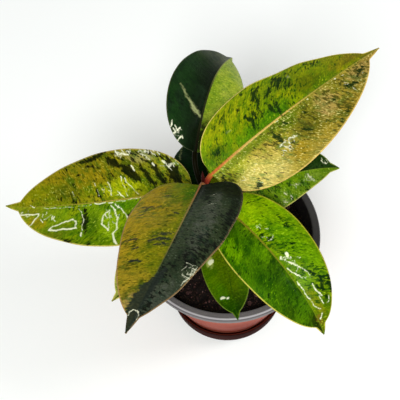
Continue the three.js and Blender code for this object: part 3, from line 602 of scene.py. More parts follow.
class LeafSkin:
    """Rings of points round a leaf from its foot in the stem to its tip, and what each point is."""

    def __init__(self, name, leaf):
        self.leaf = leaf
        self.name = name
        self.seed = WAVE_SEED + sorted(LEAVES).index(name)
        self.water_glint = WATER_GLINT_MARKS.get(name, []) + squiggles(name)
        count = leaf.across
        out = np.linspace(-1, 1, 2 * count + 1)
        under = np.linspace(1, -1, count + 1)
        self.top_places = np.sign(out) * np.abs(out) ** 1.25
        self.under_places = np.sign(under) * np.abs(under) ** 1.5
        quarter = np.pi / 2
        self.angle = np.concatenate([
            quarter - (quarter - SEAM_ANGLE) * out,
            (quarter - SEAM_ANGLE) * under - quarter,
        ])[None, :]
        self.top_count = len(out)
        stalk = stalk_points(leaf)
        blade = self.blade_rings(spine_points(leaf, stalk[-1]))
        foot = self.stalk_rings(stalk)
        self.stalk_ring_count = len(foot)
        self.rings = np.concatenate([foot, blade])

    def stalk_rings(self, stalk):
        leaf = self.leaf
        t = np.linspace(0, 1, STALK_RINGS + 1)[:-1]
        roll = (leaf.roll - leaf.twist / 2) * t
        side, up = side_and_up(stalk_heading(leaf, t), stalk_slope(leaf, t), roll)
        radius = leaf.stalk_radius * (1.15 - 0.15 * t)
        middle = along_points(stalk, t) - up * (MIDRIB_SINK * leaf.stalk_radius * t)[:, None]
        x = np.repeat((t - 1)[:, None] * leaf.stalk_length, self.angle.shape[1], 1)
        y = radius[:, None] * np.cos(self.angle)
        self.stalk_places = np.stack([x, y, 0 * x + 2], -1)
        return tube_point(middle, side, up, radius, self.angle + 0 * radius[:, None])

    def blade_rings(self, spine):
        leaf = self.leaf
        s = stations(leaf)
        middle = along_points(spine, s)
        roll = leaf.roll + leaf.twist * (s - 0.5)
        side, up = side_and_up(leaf.heading + leaf.sweep * s, slope_at(leaf, s), roll)
        half_span = half_width(leaf, s)
        rib = leaf.stalk_radius * (1 - MIDRIB_THINNING * np.minimum(s / MIDRIB_SHARE, 1) ** 0.8)
        faces = []
        places = []
        for sign, shares in ((1, self.top_places), (-1, self.under_places)):
            y = half_span[:, None] * shares
            x = np.repeat((s * leaf.length)[:, None], y.shape[1], 1)
            edge = half_span[:, None] - np.abs(y)
            point, normal = self.surface(middle, side, up, y)
            point = point + normal * undulation(x, y, leaf, self.seed)[..., None]
            arch = np.sqrt(np.maximum(rib[:, None] ** 2 - y ** 2, 0))
            if sign > 0:
                water_glint = mark_reach(x, y, self.water_glint)
                ridge = arch - MIDRIB_SINK * rib[:, None]
                height = larger(ridge, 0, 0.12) + upper_relief(x, y, edge, water_glint)
            else:
                thick = MARGIN_THICKNESS + (BLADE_THICKNESS - MARGIN_THICKNESS) * smooth(edge, 0, 3)
                keel = np.where(arch > 0, arch + MIDRIB_SINK * rib[:, None], 0)
                vein = (0.5 + 0.5 * np.cos(2 * np.pi * vein_place(x, y) / VEIN_SPACING)) ** 4
                vein = vein * smooth(np.abs(y), 2, 5) * smooth(edge, 1, 5)
                height = -larger(thick, keel, 0.3) - UNDER_VEIN_HEIGHT * vein
            faces.append(point + normal * height[..., None])
            places.append(np.stack([x, y, edge], -1))
        blade = np.concatenate(faces, 1)
        self.rib = rib
        self.blade_places = np.concatenate(places, 1)
        sunk = middle - up * (MIDRIB_SINK * rib)[:, None]
        tube = tube_point(sunk, side, up, rib, self.angle + 0 * rib[:, None])
        share = smooth(s * leaf.length, 0, 1.5)[:, None, None]
        return tube + (blade - tube) * share

    def surface(self, middle, side, up, y):
        """Points and normals of the bare upper face, y out from the midrib along the surface."""
        bend = math.radians(self.leaf.curl) / (self.leaf.width / 2)
        fold = math.radians(self.leaf.fold)
        reach = np.abs(y)
        sign = np.sign(y)
        angle = fold - bend * reach
        out = sign * (math.sin(fold) - np.sin(angle)) / bend
        rise = (np.cos(angle) - math.cos(fold)) / bend
        lean = angle * smooth(reach, 0, 1.2)
        point = middle[:, None] + out[..., None] * side[:, None] + rise[..., None] * up[:, None]
        normal = np.cos(lean)[..., None] * up[:, None] - (sign * np.sin(lean))[..., None] * side[:, None]
        return point, normal

    def attributes(self):
        """Per point: where it lies on the blade, its vein, midrib and length, and its marks."""
        places = np.concatenate([self.stalk_places, self.blade_places])
        x, y, edge = places[..., 0], places[..., 1], places[..., 2]
        rib = np.concatenate([np.full(self.stalk_ring_count, self.rib[0]), self.rib])
        rib_reach = LOOKS[self.name].rib_share * rib[:, None] - np.abs(y)
        marks = [
            mark_reach(x, y, DARK_MARKS.get(self.name, []), 0.7),
            mark_reach(x, y, PALE_AND_HIGHLIGHT_MARKS.get(self.name, []), 0.5),
            mark_reach(x, y, self.water_glint),
        ]
        veins = np.stack([vein_place(x, y) + NOISE_STEP * self.seed, rib_reach, x / self.leaf.length], -1)
        return {"blade": places, "veins": veins, "marks": np.stack(marks, -1)}


# Meshes

def outward(points, quads, caps):
    """The faces, turned over if they enclose a negative volume."""
    triangles = np.concatenate([quads[:, [0, 1, 2]], quads[:, [0, 2, 3]], caps])
    a, b, c = (points[triangles[:, k]] for k in range(3))
    if (a * np.cross(b, c)).sum() < 0:
        return quads[:, ::-1], caps[:, ::-1]
    return quads, caps


def ring_mesh(name, rings, attributes=None, capped=True):
    """A mesh over rings of points in millimetres: both ends closed by fans, or joined to each other."""
    count, sides = rings.shape[:2]
    points = rings.reshape(-1, 3)
    index = np.arange(count * sides).reshape(count, sides)
    beside = np.roll(index, -1, 1)
    if capped:
        points = np.vstack([points, rings[0].mean(0), rings[-1].mean(0)])
        quads = np.stack([index[:-1], beside[:-1], beside[1:], index[1:]], -1).reshape(-1, 4)
        foot, tip = np.full(sides, count * sides), np.full(sides, count * sides + 1)
        caps = np.concatenate([
            np.stack([foot, beside[0], index[0]], -1),
            np.stack([tip, index[-1], beside[-1]], -1),
        ])
    else:
        above, beside_above = np.roll(index, -1, 0), np.roll(beside, -1, 0)
        quads = np.stack([index, beside, beside_above, above], -1).reshape(-1, 4)
        caps = np.zeros((0, 3), int)
    quads, caps = outward(points, quads, caps)
    fields = {}
    for key, values in (attributes or {}).items():
        ends = [values[0].mean(0), values[-1].mean(0)] if capped else []
        fields[key] = np.vstack([values.reshape(-1, 3), *ends])
    return new_piece(name, points, quads.tolist() + caps.tolist(), fields)


def new_piece(name, points, faces, fields=None):
    mesh = bpy.data.meshes.new(name)
    mesh.from_pydata((np.asarray(points) * MM).tolist(), [], faces)
    mesh.polygons.foreach_set("use_smooth", [True] * len(mesh.polygons))
    for key, values in (fields or {}).items():
        layer = mesh.attributes.new(key, "FLOAT_VECTOR", "POINT")
        layer.data.foreach_set("vector", values.astype(np.float32).ravel())
    mesh.update()
    piece = bpy.data.objects.new(name, mesh)
    bpy.context.scene.collection.objects.link(piece)
    return piece


def round_angles(sides):
    return np.linspace(0, 2 * np.pi, sides, endpoint=False)


def round_points(radius, angle, height):
    return np.stack([radius * np.cos(angle), radius * np.sin(angle), height + 0 * angle], -1)


def turned(profile, sides=160):
    """Rings of a turned shape, from its profile's radii and heights."""
    profile = np.array(profile, float)
    return round_points(profile[:, :1], round_angles(sides), profile[:, 1:])


def dress(piece, node, material):
    """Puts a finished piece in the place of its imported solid."""
    for entry in material if isinstance(material, list) else [material]:
        piece.data.materials.append(entry)
    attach(piece, BODY)
    if node:
        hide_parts(node)


# Node materials

class Paint:
    """A material whose nodes are added by short calls that give back their output sockets."""

    def __init__(self, name):
        self.material = bpy.data.materials.new(name)
        self.material.use_nodes = True
        self.tree = self.material.node_tree
        self.shader = self.tree.nodes["Principled BSDF"]

    def put(self, socket, value):
        """Links or sets an input. A colour is given as its code on a screen."""
        if isinstance(value, bpy.types.NodeSocket):
            self.tree.links.new(value, socket)
        else:
            socket.default_value = tint(value) if socket.type == "RGBA" else value

    def add(self, kind, inputs, output=0, **settings):
        node = self.tree.nodes.new("ShaderNode" + kind)
        for key, value in settings.items():
            setattr(node, key, value)
        for key, value in inputs.items():
            self.put(node.inputs[key], value)
        return node.outputs[output]

    def place(self):
        """A point's place in the part, in metres."""
        return self.add("TexCoord", {}, 3)

    def split(self, vector):
        """The three numbers of a vector."""
        node = self.tree.nodes.new("ShaderNodeSeparateXYZ")
        self.tree.links.new(vector, node.inputs[0])
        return tuple(node.outputs)

    def attribute(self, name):
        """The three numbers of a mesh attribute."""
        return self.split(self.add("Attribute", {}, 1, attribute_name=name))

    def math(self, operation, a, b=0.0):
        return self.add("Math", {0: a, 1: b}, operation=operation)

    def plus(self, a, b):
        return self.math("ADD", a, b)

    def minus(self, a, b):
        return self.math("SUBTRACT", a, b)

    def times(self, a, b):
        return self.math("MULTIPLY", a, b)

    def vector(self, x, y, z=0.0):
        return self.add("CombineXYZ", {0: x, 1: y, 2: z})

    def length(self, vector):
        return self.add("VectorMath", {0: vector}, 1, operation="LENGTH")

    def scaled(self, vector, *factors):
        """A colour or place with each of its three numbers multiplied by its own factor."""
        return self.add("VectorMath", {0: vector, 1: factors}, operation="MULTIPLY")

    def fade(self, value, low, high, start=0.0, end=1.0):
        """start at low, end at high, and a smooth step between them."""
        inputs = {"Value": value, "From Min": low, "From Max": high, "To Min": start, "To Max": end}
        return self.add("MapRange", inputs, interpolation_type="SMOOTHSTEP")

    def noise(self, vector, scale, detail=2.0, roughness=0.5):
        inputs = {"Vector": vector, "Scale": scale, "Detail": detail, "Roughness": roughness}
        return self.add("TexNoise", inputs)

    def mix(self, share, a, b):
        return self.add("Mix", {0: share, 6: a, 7: b}, 2, data_type="RGBA")

    def layers(self, colour, *layers):
        """A colour with others over it: tone, what it follows, where it starts and is full, strength."""
        for tone, value, low, high, strength in layers:
            colour = self.mix(self.fade(value, low, high, 0.0, strength), colour, tone)
        return colour

    def finished(self, colour, roughness, specular, relief=None, depth=0.0, strength=1.0):
        """The material with its colour, its gloss and a fine relief, whose depth is in metres."""
        given = {"Base Color": colour, "Roughness": roughness, "Specular IOR Level": specular}
        if relief is not None:
            given["Normal"] = self.add("Bump", {"Height": relief, "Distance": depth, "Strength": strength})
        for key, value in given.items():
            self.put(self.shader.inputs[key], value)
        return self.material


def channels(colour):
    return colour >> 16, colour >> 8 & 255, colour & 255


def tint(colour):
    """A colour given by its code on a screen, as the linear colour that a shader takes."""
    shares = (channel / 255 for channel in channels(colour))
    return (*(s / 12.92 if s <= 0.04045 else ((s + 0.055) / 1.055) ** 2.4 for s in shares), 1.0)


def paler(colour):
    pairs = zip(channels(colour), channels(UNDERSIDE))
    red, green, blue = (round(0.45 * own + 0.55 * grey) for own, grey in pairs)
    return red << 16 | green << 8 | blue


def half_colour(paint, colours, spots):
    """The ground colour of one half of a blade, from its place on it and a slow noise."""
    spread = paint.fade(paint.plus(spots.out, paint.times(spots.cloud, 0.5)), 0.25, 1.1)
    base = paint.mix(spread, colours.base, colours.base_out)
    return paint.layers(
        paint.mix(spread, colours.inner, colours.outer),
        (base, spots.s, colours.reach, 0.04, 1.0),
        (colours.tip, spots.s, 0.6, 0.97, 1.0),
        (colours.cloud, spots.cloud, 0.48, 0.62, 0.8),
    )


def fleck_colour(paint, colours, spots, colour):
    """The fine pale and dark flecks of one half over its ground colour."""
    pale_from, dark_from = (0.69 - 0.3 * share for share in (colours.pale_share, colours.dark_share))
    flecks = paint.plus(paint.plus(spots.mottle, spots.cluster), spots.near)
    return paint.layers(
        colour,
        (colours.pale, paint.minus(spots.specks, spots.cluster), pale_from, pale_from + 0.14, 0.6),
        (colours.dark, flecks, dark_from, dark_from + 0.08, 0.9),
    )


def shade_reach(paint, shade, spots):
    """How far out of a soft listed patch each point lies, in shares of the patch."""
    x, y, long, wide = shade
    offset = paint.add("VectorMath", {0: spots.flat, 1: (x, y, 0)}, operation="SUBTRACT")
    ragged = paint.times(paint.minus(spots.patch, 0.5), 2.2)
    return paint.plus(paint.length(paint.scaled(offset, 1 / long, 1 / wide, 0)), ragged)


def leaf_spots(paint, name):
    """Where a point lies on its blade, its marks, and the noises that run along its veins."""
    x, y, edge = paint.attribute("blade")
    vein, rib, s = paint.attribute("veins")
    dark, pale, water_glint = paint.attribute("marks")

    def veined(along, out, layer):
        return paint.vector(paint.times(vein, along), paint.times(y, out), layer)

    grain = veined(0.8, 0.55, 5.0)
    cloud = paint.noise(paint.vector(vein, y, 9.0), 0.06, 4.0, 0.6)
    return SimpleNamespace(
        flat=paint.vector(x, y), edge=edge, vein=vein, rib=rib, s=s, dark=dark, pale=pale, water_glint=water_glint,
        out=paint.math("DIVIDE", paint.math("ABSOLUTE", y), LEAVES[name].width / 2),
        side=paint.fade(y, -0.4, 0.4),
        cloud=cloud,
        cluster=paint.times(paint.minus(cloud, 0.5), 0.5),
        near=paint.fade(dark, -12.0, 0.0, 0.0, 0.08),
        patch=paint.noise(veined(0.2, 0.12, 2.0), 1.0, 5.0, 0.7),
        mottle=paint.noise(veined(0.55, 0.24, 0.0), 1.0, 3.0, 0.65),
        specks=paint.noise(grain, 1.0, 2.0, 0.6),
        fine=paint.noise(grain, 2.6, 2.0, 0.6),
    )


def upper_material(name):
    """The upper face: ground colours and flecks of both halves, shades, midrib, margins, bars, and water
    glints as painted highlights.
    """
    paint = Paint(name + "_upper")
    spots, look = leaf_spots(paint, name), LOOKS[name]
    left, right = HALVES[look.left], HALVES[look.right]
    colour = paint.mix(spots.side, half_colour(paint, left, spots), half_colour(paint, right, spots))
    colour = paint.layers(colour, *(
        (TONES[tone], shade_reach(paint, shade, spots), 1.25, 0.45, strength)
        for *shade, tone, strength in SHADES.get(name, [])
    ))
    colour = paint.mix(paint.fade(spots.patch, 0.5, 0.3), colour, paint.scaled(colour, 1.3, 1.2, 1.5))
    deep = paint.times(paint.fade(spots.patch, 0.47, 0.62), paint.fade(spots.dark, -12.0, 0.0, 0.6, 1.3))
    colour = paint.mix(deep, colour, paint.scaled(colour, 0.42, 0.62, 0.6))
    colour = paint.mix(spots.side, *(fleck_colour(paint, side, spots, colour) for side in (left, right)))
    rib_colour = paint.layers(
        look.rib_base,
        (look.rib_middle, spots.s, 0.0, 0.28, 1.0),
        (look.rib_tip, spots.s, 0.4, 0.7, 1.0),
    )
    ragged = paint.plus(spots.mottle, paint.times(spots.fine, 0.5))
    ragged = paint.times(paint.minus(ragged, 0.75), 8.0)
    # The pale marks, cream streaks and painted highlights, then the midrib
    colour = paint.layers(
        colour,
        (PALE_AND_HIGHLIGHT, paint.plus(spots.pale, paint.times(ragged, 0.5)), -1.0, 1.4, 0.68),
        (rib_colour, spots.rib, -0.15, 0.25, 1.0),
    )
    margin = paint.times(paint.fade(spots.edge, 1.1, 0.6, 0.0, 0.9), paint.fade(spots.s, 0.99, 0.95))
    colour = paint.mix(margin, colour, paint.mix(spots.side, look.margin_left, look.margin_right))
    colour = paint.layers(colour, (look.darkest, paint.plus(spots.dark, ragged), -0.7, 0.9, 0.94))
    speckle = paint.fade(spots.specks, 0.3, 0.7, 0.76, 1.26)
    colour = paint.add("VectorMath", {0: colour, "Scale": speckle}, operation="SCALE")
    # The water strokes, glossier and painted near white: painted highlights of glints on the water
    broken = paint.plus(spots.mottle, paint.times(spots.fine, 0.7))
    broken = paint.times(paint.minus(broken, 0.85), 1.8)
    water_glint = paint.fade(paint.plus(spots.water_glint, broken), -0.4, 0.35)
    colour = paint.mix(paint.times(water_glint, 0.85), colour, PAINTED_GLINT)
    dull = paint.plus(paint.fade(spots.cloud, 0.3, 0.7, 0.26, 0.38), paint.fade(spots.s, 0.3, 0.0, 0.0, 0.2))
    lines = paint.times(paint.math("SINE", paint.times(spots.vein, 3.4)), 0.25)
    relief = paint.plus(paint.plus(spots.mottle, lines), paint.times(spots.specks, 0.5))
    return paint.finished(colour, paint.minus(dull, paint.times(water_glint, 0.2)), look.sheen, relief, 0.00012, 0.6)


def under_material(name):
    """The paler, duller lower face, where the marks show through faintly."""
    paint = Paint(name + "_under")
    spots, look = leaf_spots(paint, name), LOOKS[name]
    colour = paint.layers(
        paint.mix(spots.side, *(paler(HALVES[side].inner) for side in (look.left, look.right))),
        (0x9eac74, spots.cloud, 0.35, 0.7, 0.5),
        (0x546a46, spots.dark, -1.0, 1.0, 0.45),
        (0x6e804e, spots.mottle, 0.5, 0.7, 0.5),
        (0xba9668, spots.rib, -0.9, 0.2, 1.0),
        (paint.mix(spots.side, look.margin_left, look.margin_right), spots.edge, 1.0, 0.5, 0.9),
    )
    rough = paint.fade(spots.specks, 0.3, 0.7, 0.5, 0.62)
    return paint.finished(colour, rough, 0.3, spots.mottle, 0.0002, 0.6)


def stalk_material(name):
    """The stalk's own colour by the stem and the midrib's colour by the blade."""
    paint = Paint(name + "_stalk")
    x, y, _ = paint.attribute("blade")
    streak = paint.noise(paint.vector(paint.times(x, 0.15), y, 3.0), 1.6, 3.0)
    by_blade = paint.fade(x, -LEAVES[name].stalk_length * 0.5, 0.0)
    colour = paint.mix(by_blade, LOOKS[name].stalk, LOOKS[name].rib_base)
    colour = paint.layers(colour, (paint.scaled(colour, 0.7, 1.2, 0.8), streak, 0.45, 0.7, 0.7))
    return paint.finished(colour, paint.fade(streak, 0.3, 0.7, 0.3, 0.45), 0.02, streak, 0.0002, 0.5)


def add_leaf(name, leaf):
    skin = LeafSkin(name, leaf)
    piece = ring_mesh(name + "_fine", skin.rings, skin.attributes())
    dress(piece, name, [upper_material(name), under_material(name), stalk_material(name)])
    upper, under, stalk = range(3)
    sides = skin.rings.shape[1]
    ring_faces = np.full((len(skin.rings) - 1, sides), upper)
    ring_faces[:, skin.top_count - 1:] = under
    ring_faces[:skin.stalk_ring_count] = stalk
    caps = [stalk] * sides + [under] * sides
    piece.data.polygons.foreach_set("material_index", ring_faces.ravel().tolist() + caps)


# Pot, liner, saucer, soil and stem

POT_SLOPE = (POT_TOP_RADIUS - POT_FOOT_RADIUS) / (POT_TOP - SAUCER_FLOOR - FIT)


def pot_radius(height):
    return POT_TOP_RADIUS - (POT_TOP - height) * POT_SLOPE


def pot_bore(height):
    return pot_radius(height) - POT_WALL


def liner_radius(height):
    return pot_bore(height) - FIT


def liner_bore(height):
    return liner_radius(height) - LINER_WALL


def rounded(profile, radius, steps=5):
    """The profile with each corner cut to a small round."""
    points = [np.array(point, float) for point in profile]
    made = []
    for before, corner, after in zip(points[-1:] + points[:-1], points, points[1:] + points[:1]):
        start = corner + (before - corner) * min(0.45, radius / np.linalg.norm(before - corner))
        end = corner + (after - corner) * min(0.45, radius / np.linalg.norm(after - corner))
        for t in np.linspace(0, 1, steps):
            made.append((1 - t) ** 2 * start + 2 * t * (1 - t) * corner + t * t * end)
    return made


def height_of(paint):
    """A point's height in metres."""
    return paint.split(paint.place())[2]


def radius_of(paint):
    """A point's distance from the pot's axis, in metres."""
    return paint.length(paint.scaled(paint.place(), 1.0, 1.0, 0.0))


def moulded_plastic(name, tones, roughness, specular, painted_light):
    """Moulded plastic: slow clouds of a second tone, dust speckle, a fine grain and its own painted light and
    shade.
    """
    paint = Paint(name)
    place = paint.place()
    cloud = paint.noise(place, 22.0, 3.0)
    dust = paint.noise(place, 900.0, 2.0)
    base, second, dusty = tones
    colour = paint.layers(base, (second, cloud, 0.35, 0.7, 1.0), (dusty, dust, 0.6, 0.75, 0.35))
    rough = paint.fade(cloud, 0.3, 0.7, roughness - 0.05, roughness + 0.07)
    return paint.finished(painted_light(paint, colour), rough, specular, paint.noise(place, 420.0, 3.0), 0.00005, 0.5)


def saucer_painted_light(paint, colour):
    """Painted light and shade: lighter on the inner face, within the wall's leaning middle line, and darker
    at the rim.
    """
    height = height_of(paint)
    inside = paint.minus(radius_of(paint), paint.times(height, SAUCER_LEAN))
    inside = paint.times(paint.fade(inside, 0.0529, 0.0523, 0.0, 0.9), paint.fade(height, 0.001, 0.0025))
    # Painted light: the inner face lightened against the shade inside the saucer
    colour = paint.mix(inside, colour, 0x964230)
    # Painted shade: darker towards the rim
    return paint.layers(colour, (0x200806, height, 0.012, 0.019, 0.7))


def pot_painted_light(paint, colour):
    """Painted sheen, pinker near the rim; painted shade, dark above the saucer; and painted light inside it.
    """
    height = height_of(paint)
    return paint.layers(
        colour,
        # Painted sheen: pinker near the rim
        (0xc06a54, height, 0.06, 0.11, 0.6),
        # Painted shade: dark above the saucer
        (0x5c2218, height, 0.06, 0.026, 0.7),
        # Painted light: lighter inside the saucer, against the shade there
        (0xf08c6e, height, 0.0215, 0.0185, 0.9),
    )


def liner_painted_light(paint, colour):
    """Painted shade, darker to the right and on the inner wall above the soil, and a pale painted highlight
    line round the rest of the lip.
    """
    x, _, height = paint.split(paint.place())
    radius = radius_of(paint)
    # Painted shade: darker towards the right side
    shade_to_right = paint.fade(x, 0.03, 0.068, 0.0, 0.8)
    colour = paint.mix(shade_to_right, colour, 0x343332)
    # Painted shade: the inner wall above the soil darkened
    colour = paint.layers(colour, (0x141010, radius, 0.0738, 0.073, 0.85))
    # Painted highlight: a pale line round the lip, fading out to the right
    away = paint.math("ABSOLUTE", paint.minus(radius, 0.0786))
    painted_highlight = paint.times(paint.fade(height, 0.1285, 0.1295), paint.fade(away, 0.0011, 0.0003, 0.0, 0.85))
    painted_highlight = paint.times(painted_highlight, paint.fade(shade_to_right, 0.5, 0.0))
    return paint.mix(painted_highlight, colour, 0xb0acb0)


def add_saucer():
    inner_rim = SAUCER_RIM_RADIUS - SAUCER_WALL
    inner_foot = SAUCER_BASE_RADIUS - SAUCER_WALL - 1
    profile = rounded([
        (SAUCER_MIDDLE, 0), (SAUCER_BASE_RADIUS - 1.2, 0), (SAUCER_BASE_RADIUS, 1.6),
        (SAUCER_RIM_RADIUS, SAUCER_HEIGHT), (inner_rim, SAUCER_HEIGHT), (inner_foot, SAUCER_FLOOR),
        (SAUCER_MIDDLE, SAUCER_FLOOR),
    ], 0.7)
    inside = [point for point in profile if point[0] > SAUCER_MIDDLE + 0.5]
    tones = 0x340e08, 0x280a06, 0x46221a
    material = moulded_plastic("saucer_plastic", tones, 0.55, 0.01, saucer_painted_light)
    dress(ring_mesh("saucer_fine", turned(inside)), "saucer", material)


def add_pot():
    foot = SAUCER_FLOOR + FIT
    floor = foot + POT_FLOOR
    profile = rounded([
        (DRAIN_RADIUS, foot), (pot_radius(foot), foot), (POT_TOP_RADIUS, POT_TOP),
        (pot_bore(POT_TOP), POT_TOP), (pot_bore(floor), floor), (DRAIN_RADIUS, floor),
    ], 0.9)
    tones = 0x943c26, 0x843222, 0xa85e48
    material = moulded_plastic("pot_plastic", tones, 0.5, 0.04, pot_painted_light)
    dress(ring_mesh("pot_fine", turned(profile), capped=False), "pot", material)


def add_liner():
    under_lip = POT_TOP + FIT
    skirt = RIM_TOP - LIP_DROP
    floor = LINER_BOTTOM + LINER_FLOOR
    lip = LIP_OUTER_RADIUS
    profile = rounded([
        (DRAIN_RADIUS - 1, LINER_BOTTOM), (liner_radius(LINER_BOTTOM), LINER_BOTTOM),
        (liner_radius(under_lip), under_lip), (lip - 1.9, under_lip), (lip - 2.1, skirt), (lip - 0.7, skirt),
        (lip, RIM_TOP - 1.9), (lip - 1.1, RIM_TOP - 0.1), (lip - 2.6, RIM_TOP - 0.5),
        (LIP_INNER_RADIUS + 0.7, RIM_TOP - 0.5), (LIP_INNER_RADIUS - 0.6, RIM_TOP - 0.9),
        (liner_bore(under_lip - 4), under_lip - 4), (liner_bore(floor), floor), (DRAIN_RADIUS - 1, floor),
    ], 0.5)
    tones = 0x5c5859, 0x4e4a4b, 0x807b7b
    material = moulded_plastic("liner_plastic", tones, 0.36, 0.08, liner_painted_light)
    dress(ring_mesh("pot_liner_fine", turned(profile, 192), capped=False), "pot_liner", material)


def soil_height(x, y):
    wave = np.sin(x * 0.21 + 0.7) * np.cos(y * 0.17 - 0.4)
    wave += 0.6 * np.sin(x * 0.43 - y * 0.37 + 1.9)
    wave += 0.4 * np.cos(x * 0.31 + y * 0.52)
    return SOIL_RELIEF * wave * 0.6


def clods(x, y, draw):
    """Heights of small lumps in several sizes, each size with its own height and number."""
    total = 0 * x
    for size, height, count in CLODS:
        for cx, cy, share in draw.uniform(-1, 1, (count, 3)):
            away = ((x - cx * CLOD_REACH) ** 2 + (y - cy * CLOD_REACH) ** 2) / (size / 2) ** 2
            near = away < 4
            total[near] = np.maximum(total[near], height * (0.6 + 0.4 * share) * np.exp(-away[near] ** 1.5))
    return total


def soil_material():
    """Dark peat with slightly browner lumps and a few brown grains."""
    paint = Paint("soil_peat")
    place = paint.place()
    lumps = paint.noise(place, 260.0, 3.0, 0.6)
    grains = paint.noise(place, 700.0, 2.0, 0.6)
    colour = paint.layers(
        0x080403,
        (0x140c09, lumps, 0.4, 0.65, 1.0),
        (0x483026, grains, 0.6, 0.68, 0.8),
    )
    rough = paint.fade(grains, 0.3, 0.7, 0.6, 0.92)
    return paint.finished(colour, rough, 0.08, paint.plus(lumps, grains), 0.0009, 0.8)


def add_soil():
    draw = np.random.default_rng(SOIL_SEED)
    floor = LINER_BOTTOM + LINER_FLOOR + FIT
    edge = liner_bore(SOIL_TOP) - FIT
    radii = np.concatenate([[edge], np.linspace(edge - 0.4, 1.0, 96)])
    outline = [(20, floor), (liner_bore(floor) - FIT, floor)]
    rings = turned(outline + [(radius, SOIL_TOP) for radius in radii], 240)
    top = rings[len(outline):]
    x, y = top[..., 0], top[..., 1]
    fade = smooth(edge - np.hypot(x, y), 0, 1.2)
    top[..., 2] += (soil_height(x, y) + clods(x, y, draw) - 0.5) * fade - 0.4 * (1 - fade)
    dress(ring_mesh("soil_fine", rings), "soil", soil_material())


def lump(draw, middle, size):
    """A small faceted crumb: a ball pulled out of shape."""
    rows, sides = 5, 7
    level = np.linspace(-0.9, 0.9, rows)[:, None]
    rings = round_points(np.sqrt(1 - level ** 2), round_angles(sides), level)
    rings = rings * (1 + draw.uniform(-0.22, 0.22, rings.shape[:2]))[..., None]
    rings = rings * (np.array([1, draw.uniform(0.5, 1), draw.uniform(0.4, 0.8)]) * size / 2)
    turn = Matrix.Rotation(draw.uniform(0, 6.28), 3, "Z") @ Matrix.Rotation(draw.uniform(-0.5, 0.5), 3, "X")
    return rings @ np.array(turn).T + middle


def add_crumbs():
    """Loose crumbs of peat and bark, each sunk a little into the soil's top."""
    draw = np.random.default_rng(CRUMB_SEED)
    points, faces = [], []
    stem_foot = stem_axis(SOIL_TOP)
    for _ in range(CRUMB_COUNT):
        turn, reach = draw.uniform(0, 2 * math.pi), math.sqrt(draw.uniform(0, 1)) * CRUMB_REACH
        x, y = reach * math.cos(turn), reach * math.sin(turn)
        size = 1.0 + 3.4 * draw.uniform(0, 1) ** 2.2
        if math.hypot(x - stem_foot[0], y - stem_foot[1]) < CRUMB_CLEARANCE:
            continue
        middle = np.array([x, y, SOIL_TOP + soil_height(np.array(x), np.array(y)) + 0.12 * size])
        rings = lump(draw, middle, size)
        rows, sides = rings.shape[:2]
        start = len(points)
        points.extend(rings.reshape(-1, 3))
        for i in range(rows - 1):
            for k in range(sides):
                a, b = start + i * sides + k, start + i * sides + (k + 1) % sides
                faces.append((a, b, b + sides, a + sides))
        faces.append(tuple(start + k for k in reversed(range(sides))))
        faces.append(tuple(start + (rows - 1) * sides + k for k in range(sides)))
    piece = new_piece("soil_crumbs", points, faces)
    piece.data.polygons.foreach_set("use_smooth", [False] * len(faces))
    dress(piece, None, crumb_material())


def crumb_material():
    paint = Paint("soil_crumb")
    place = paint.place()
    kind = paint.noise(place, 120.0, 1.0)
    grain = paint.noise(place, 1100.0, 3.0)
    colour = paint.layers(
        0x261716,
        (0x543834, kind, 0.4, 0.6, 1.0),
        (0x6e5650, kind, 0.62, 0.68, 0.7),
        (0x180f0c, grain, 0.5, 0.7, 0.5),
    )
    return paint.finished(colour, paint.fade(grain, 0.3, 0.7, 0.6, 0.9), 0.08, grain, 0.0004, 0.8)


def stem_radius(height):
    t = np.clip((height - STEM_FOOT) / (STEM_TIP - STEM_FOOT), 0, 1)
    radius = STEM_FOOT_RADIUS + (STEM_TIP_RADIUS - STEM_FOOT_RADIUS) * t
    for leaf in LEAVES.values():
        radius = radius + STEM_JOINT_SWELL * np.exp(-((height - leaf.joint + 2) / 1.6) ** 2)
        radius = radius - STEM_SCAR_DEPTH * np.exp(-((height - leaf.joint - 1.8) / 0.5) ** 2)
    return radius


def stem_material():
    """Brown bark, redder above, with fine cracks and pale pores."""
    paint = Paint("stem_bark")
    place = paint.place()
    bark = paint.noise(paint.add("Mapping", {"Vector": place, "Scale": (1.0, 1.0, 0.3)}), 700.0, 4.0, 0.6)
    pores = paint.noise(place, 900.0, 1.0)
    colour = paint.layers(
        0x5e4c30,
        (0x6a3a2c, height_of(paint), 0.13, 0.205, 1.0),
        (0x3a2c1c, bark, 0.45, 0.7, 0.6),
        (0xa08c68, pores, 0.66, 0.72, 0.7),
    )
    return paint.finished(colour, paint.fade(bark, 0.3, 0.7, 0.5, 0.75), 0.3, bark, 0.0004, 0.8)


def add_stem():
    height = np.concatenate([np.arange(STEM_FOOT, STEM_TIP - 2, 0.8), np.linspace(STEM_TIP - 2, STEM_TIP, 9)])
    middle = np.array([stem_axis(h) for h in height])
    dome = np.sqrt(np.clip(1 - ((height - STEM_TIP + 1.6) / 1.7).clip(0, 1) ** 2, 0.02, 1))
    radius = stem_radius(height) * dome
    angle = round_angles(STEM_SIDES)
    ribs = 0.03 * np.sin(3 * angle + height[:, None] * 0.21)
    knobs = 0.02 * np.sin(5 * angle - height[:, None] * 0.4)
    reach = radius[:, None] * (1 + ribs + knobs)
    rings = middle[:, None] + round_points(reach, angle, 0 * reach)
    dress(ring_mesh("stem_fine", rings), "stem", stem_material())


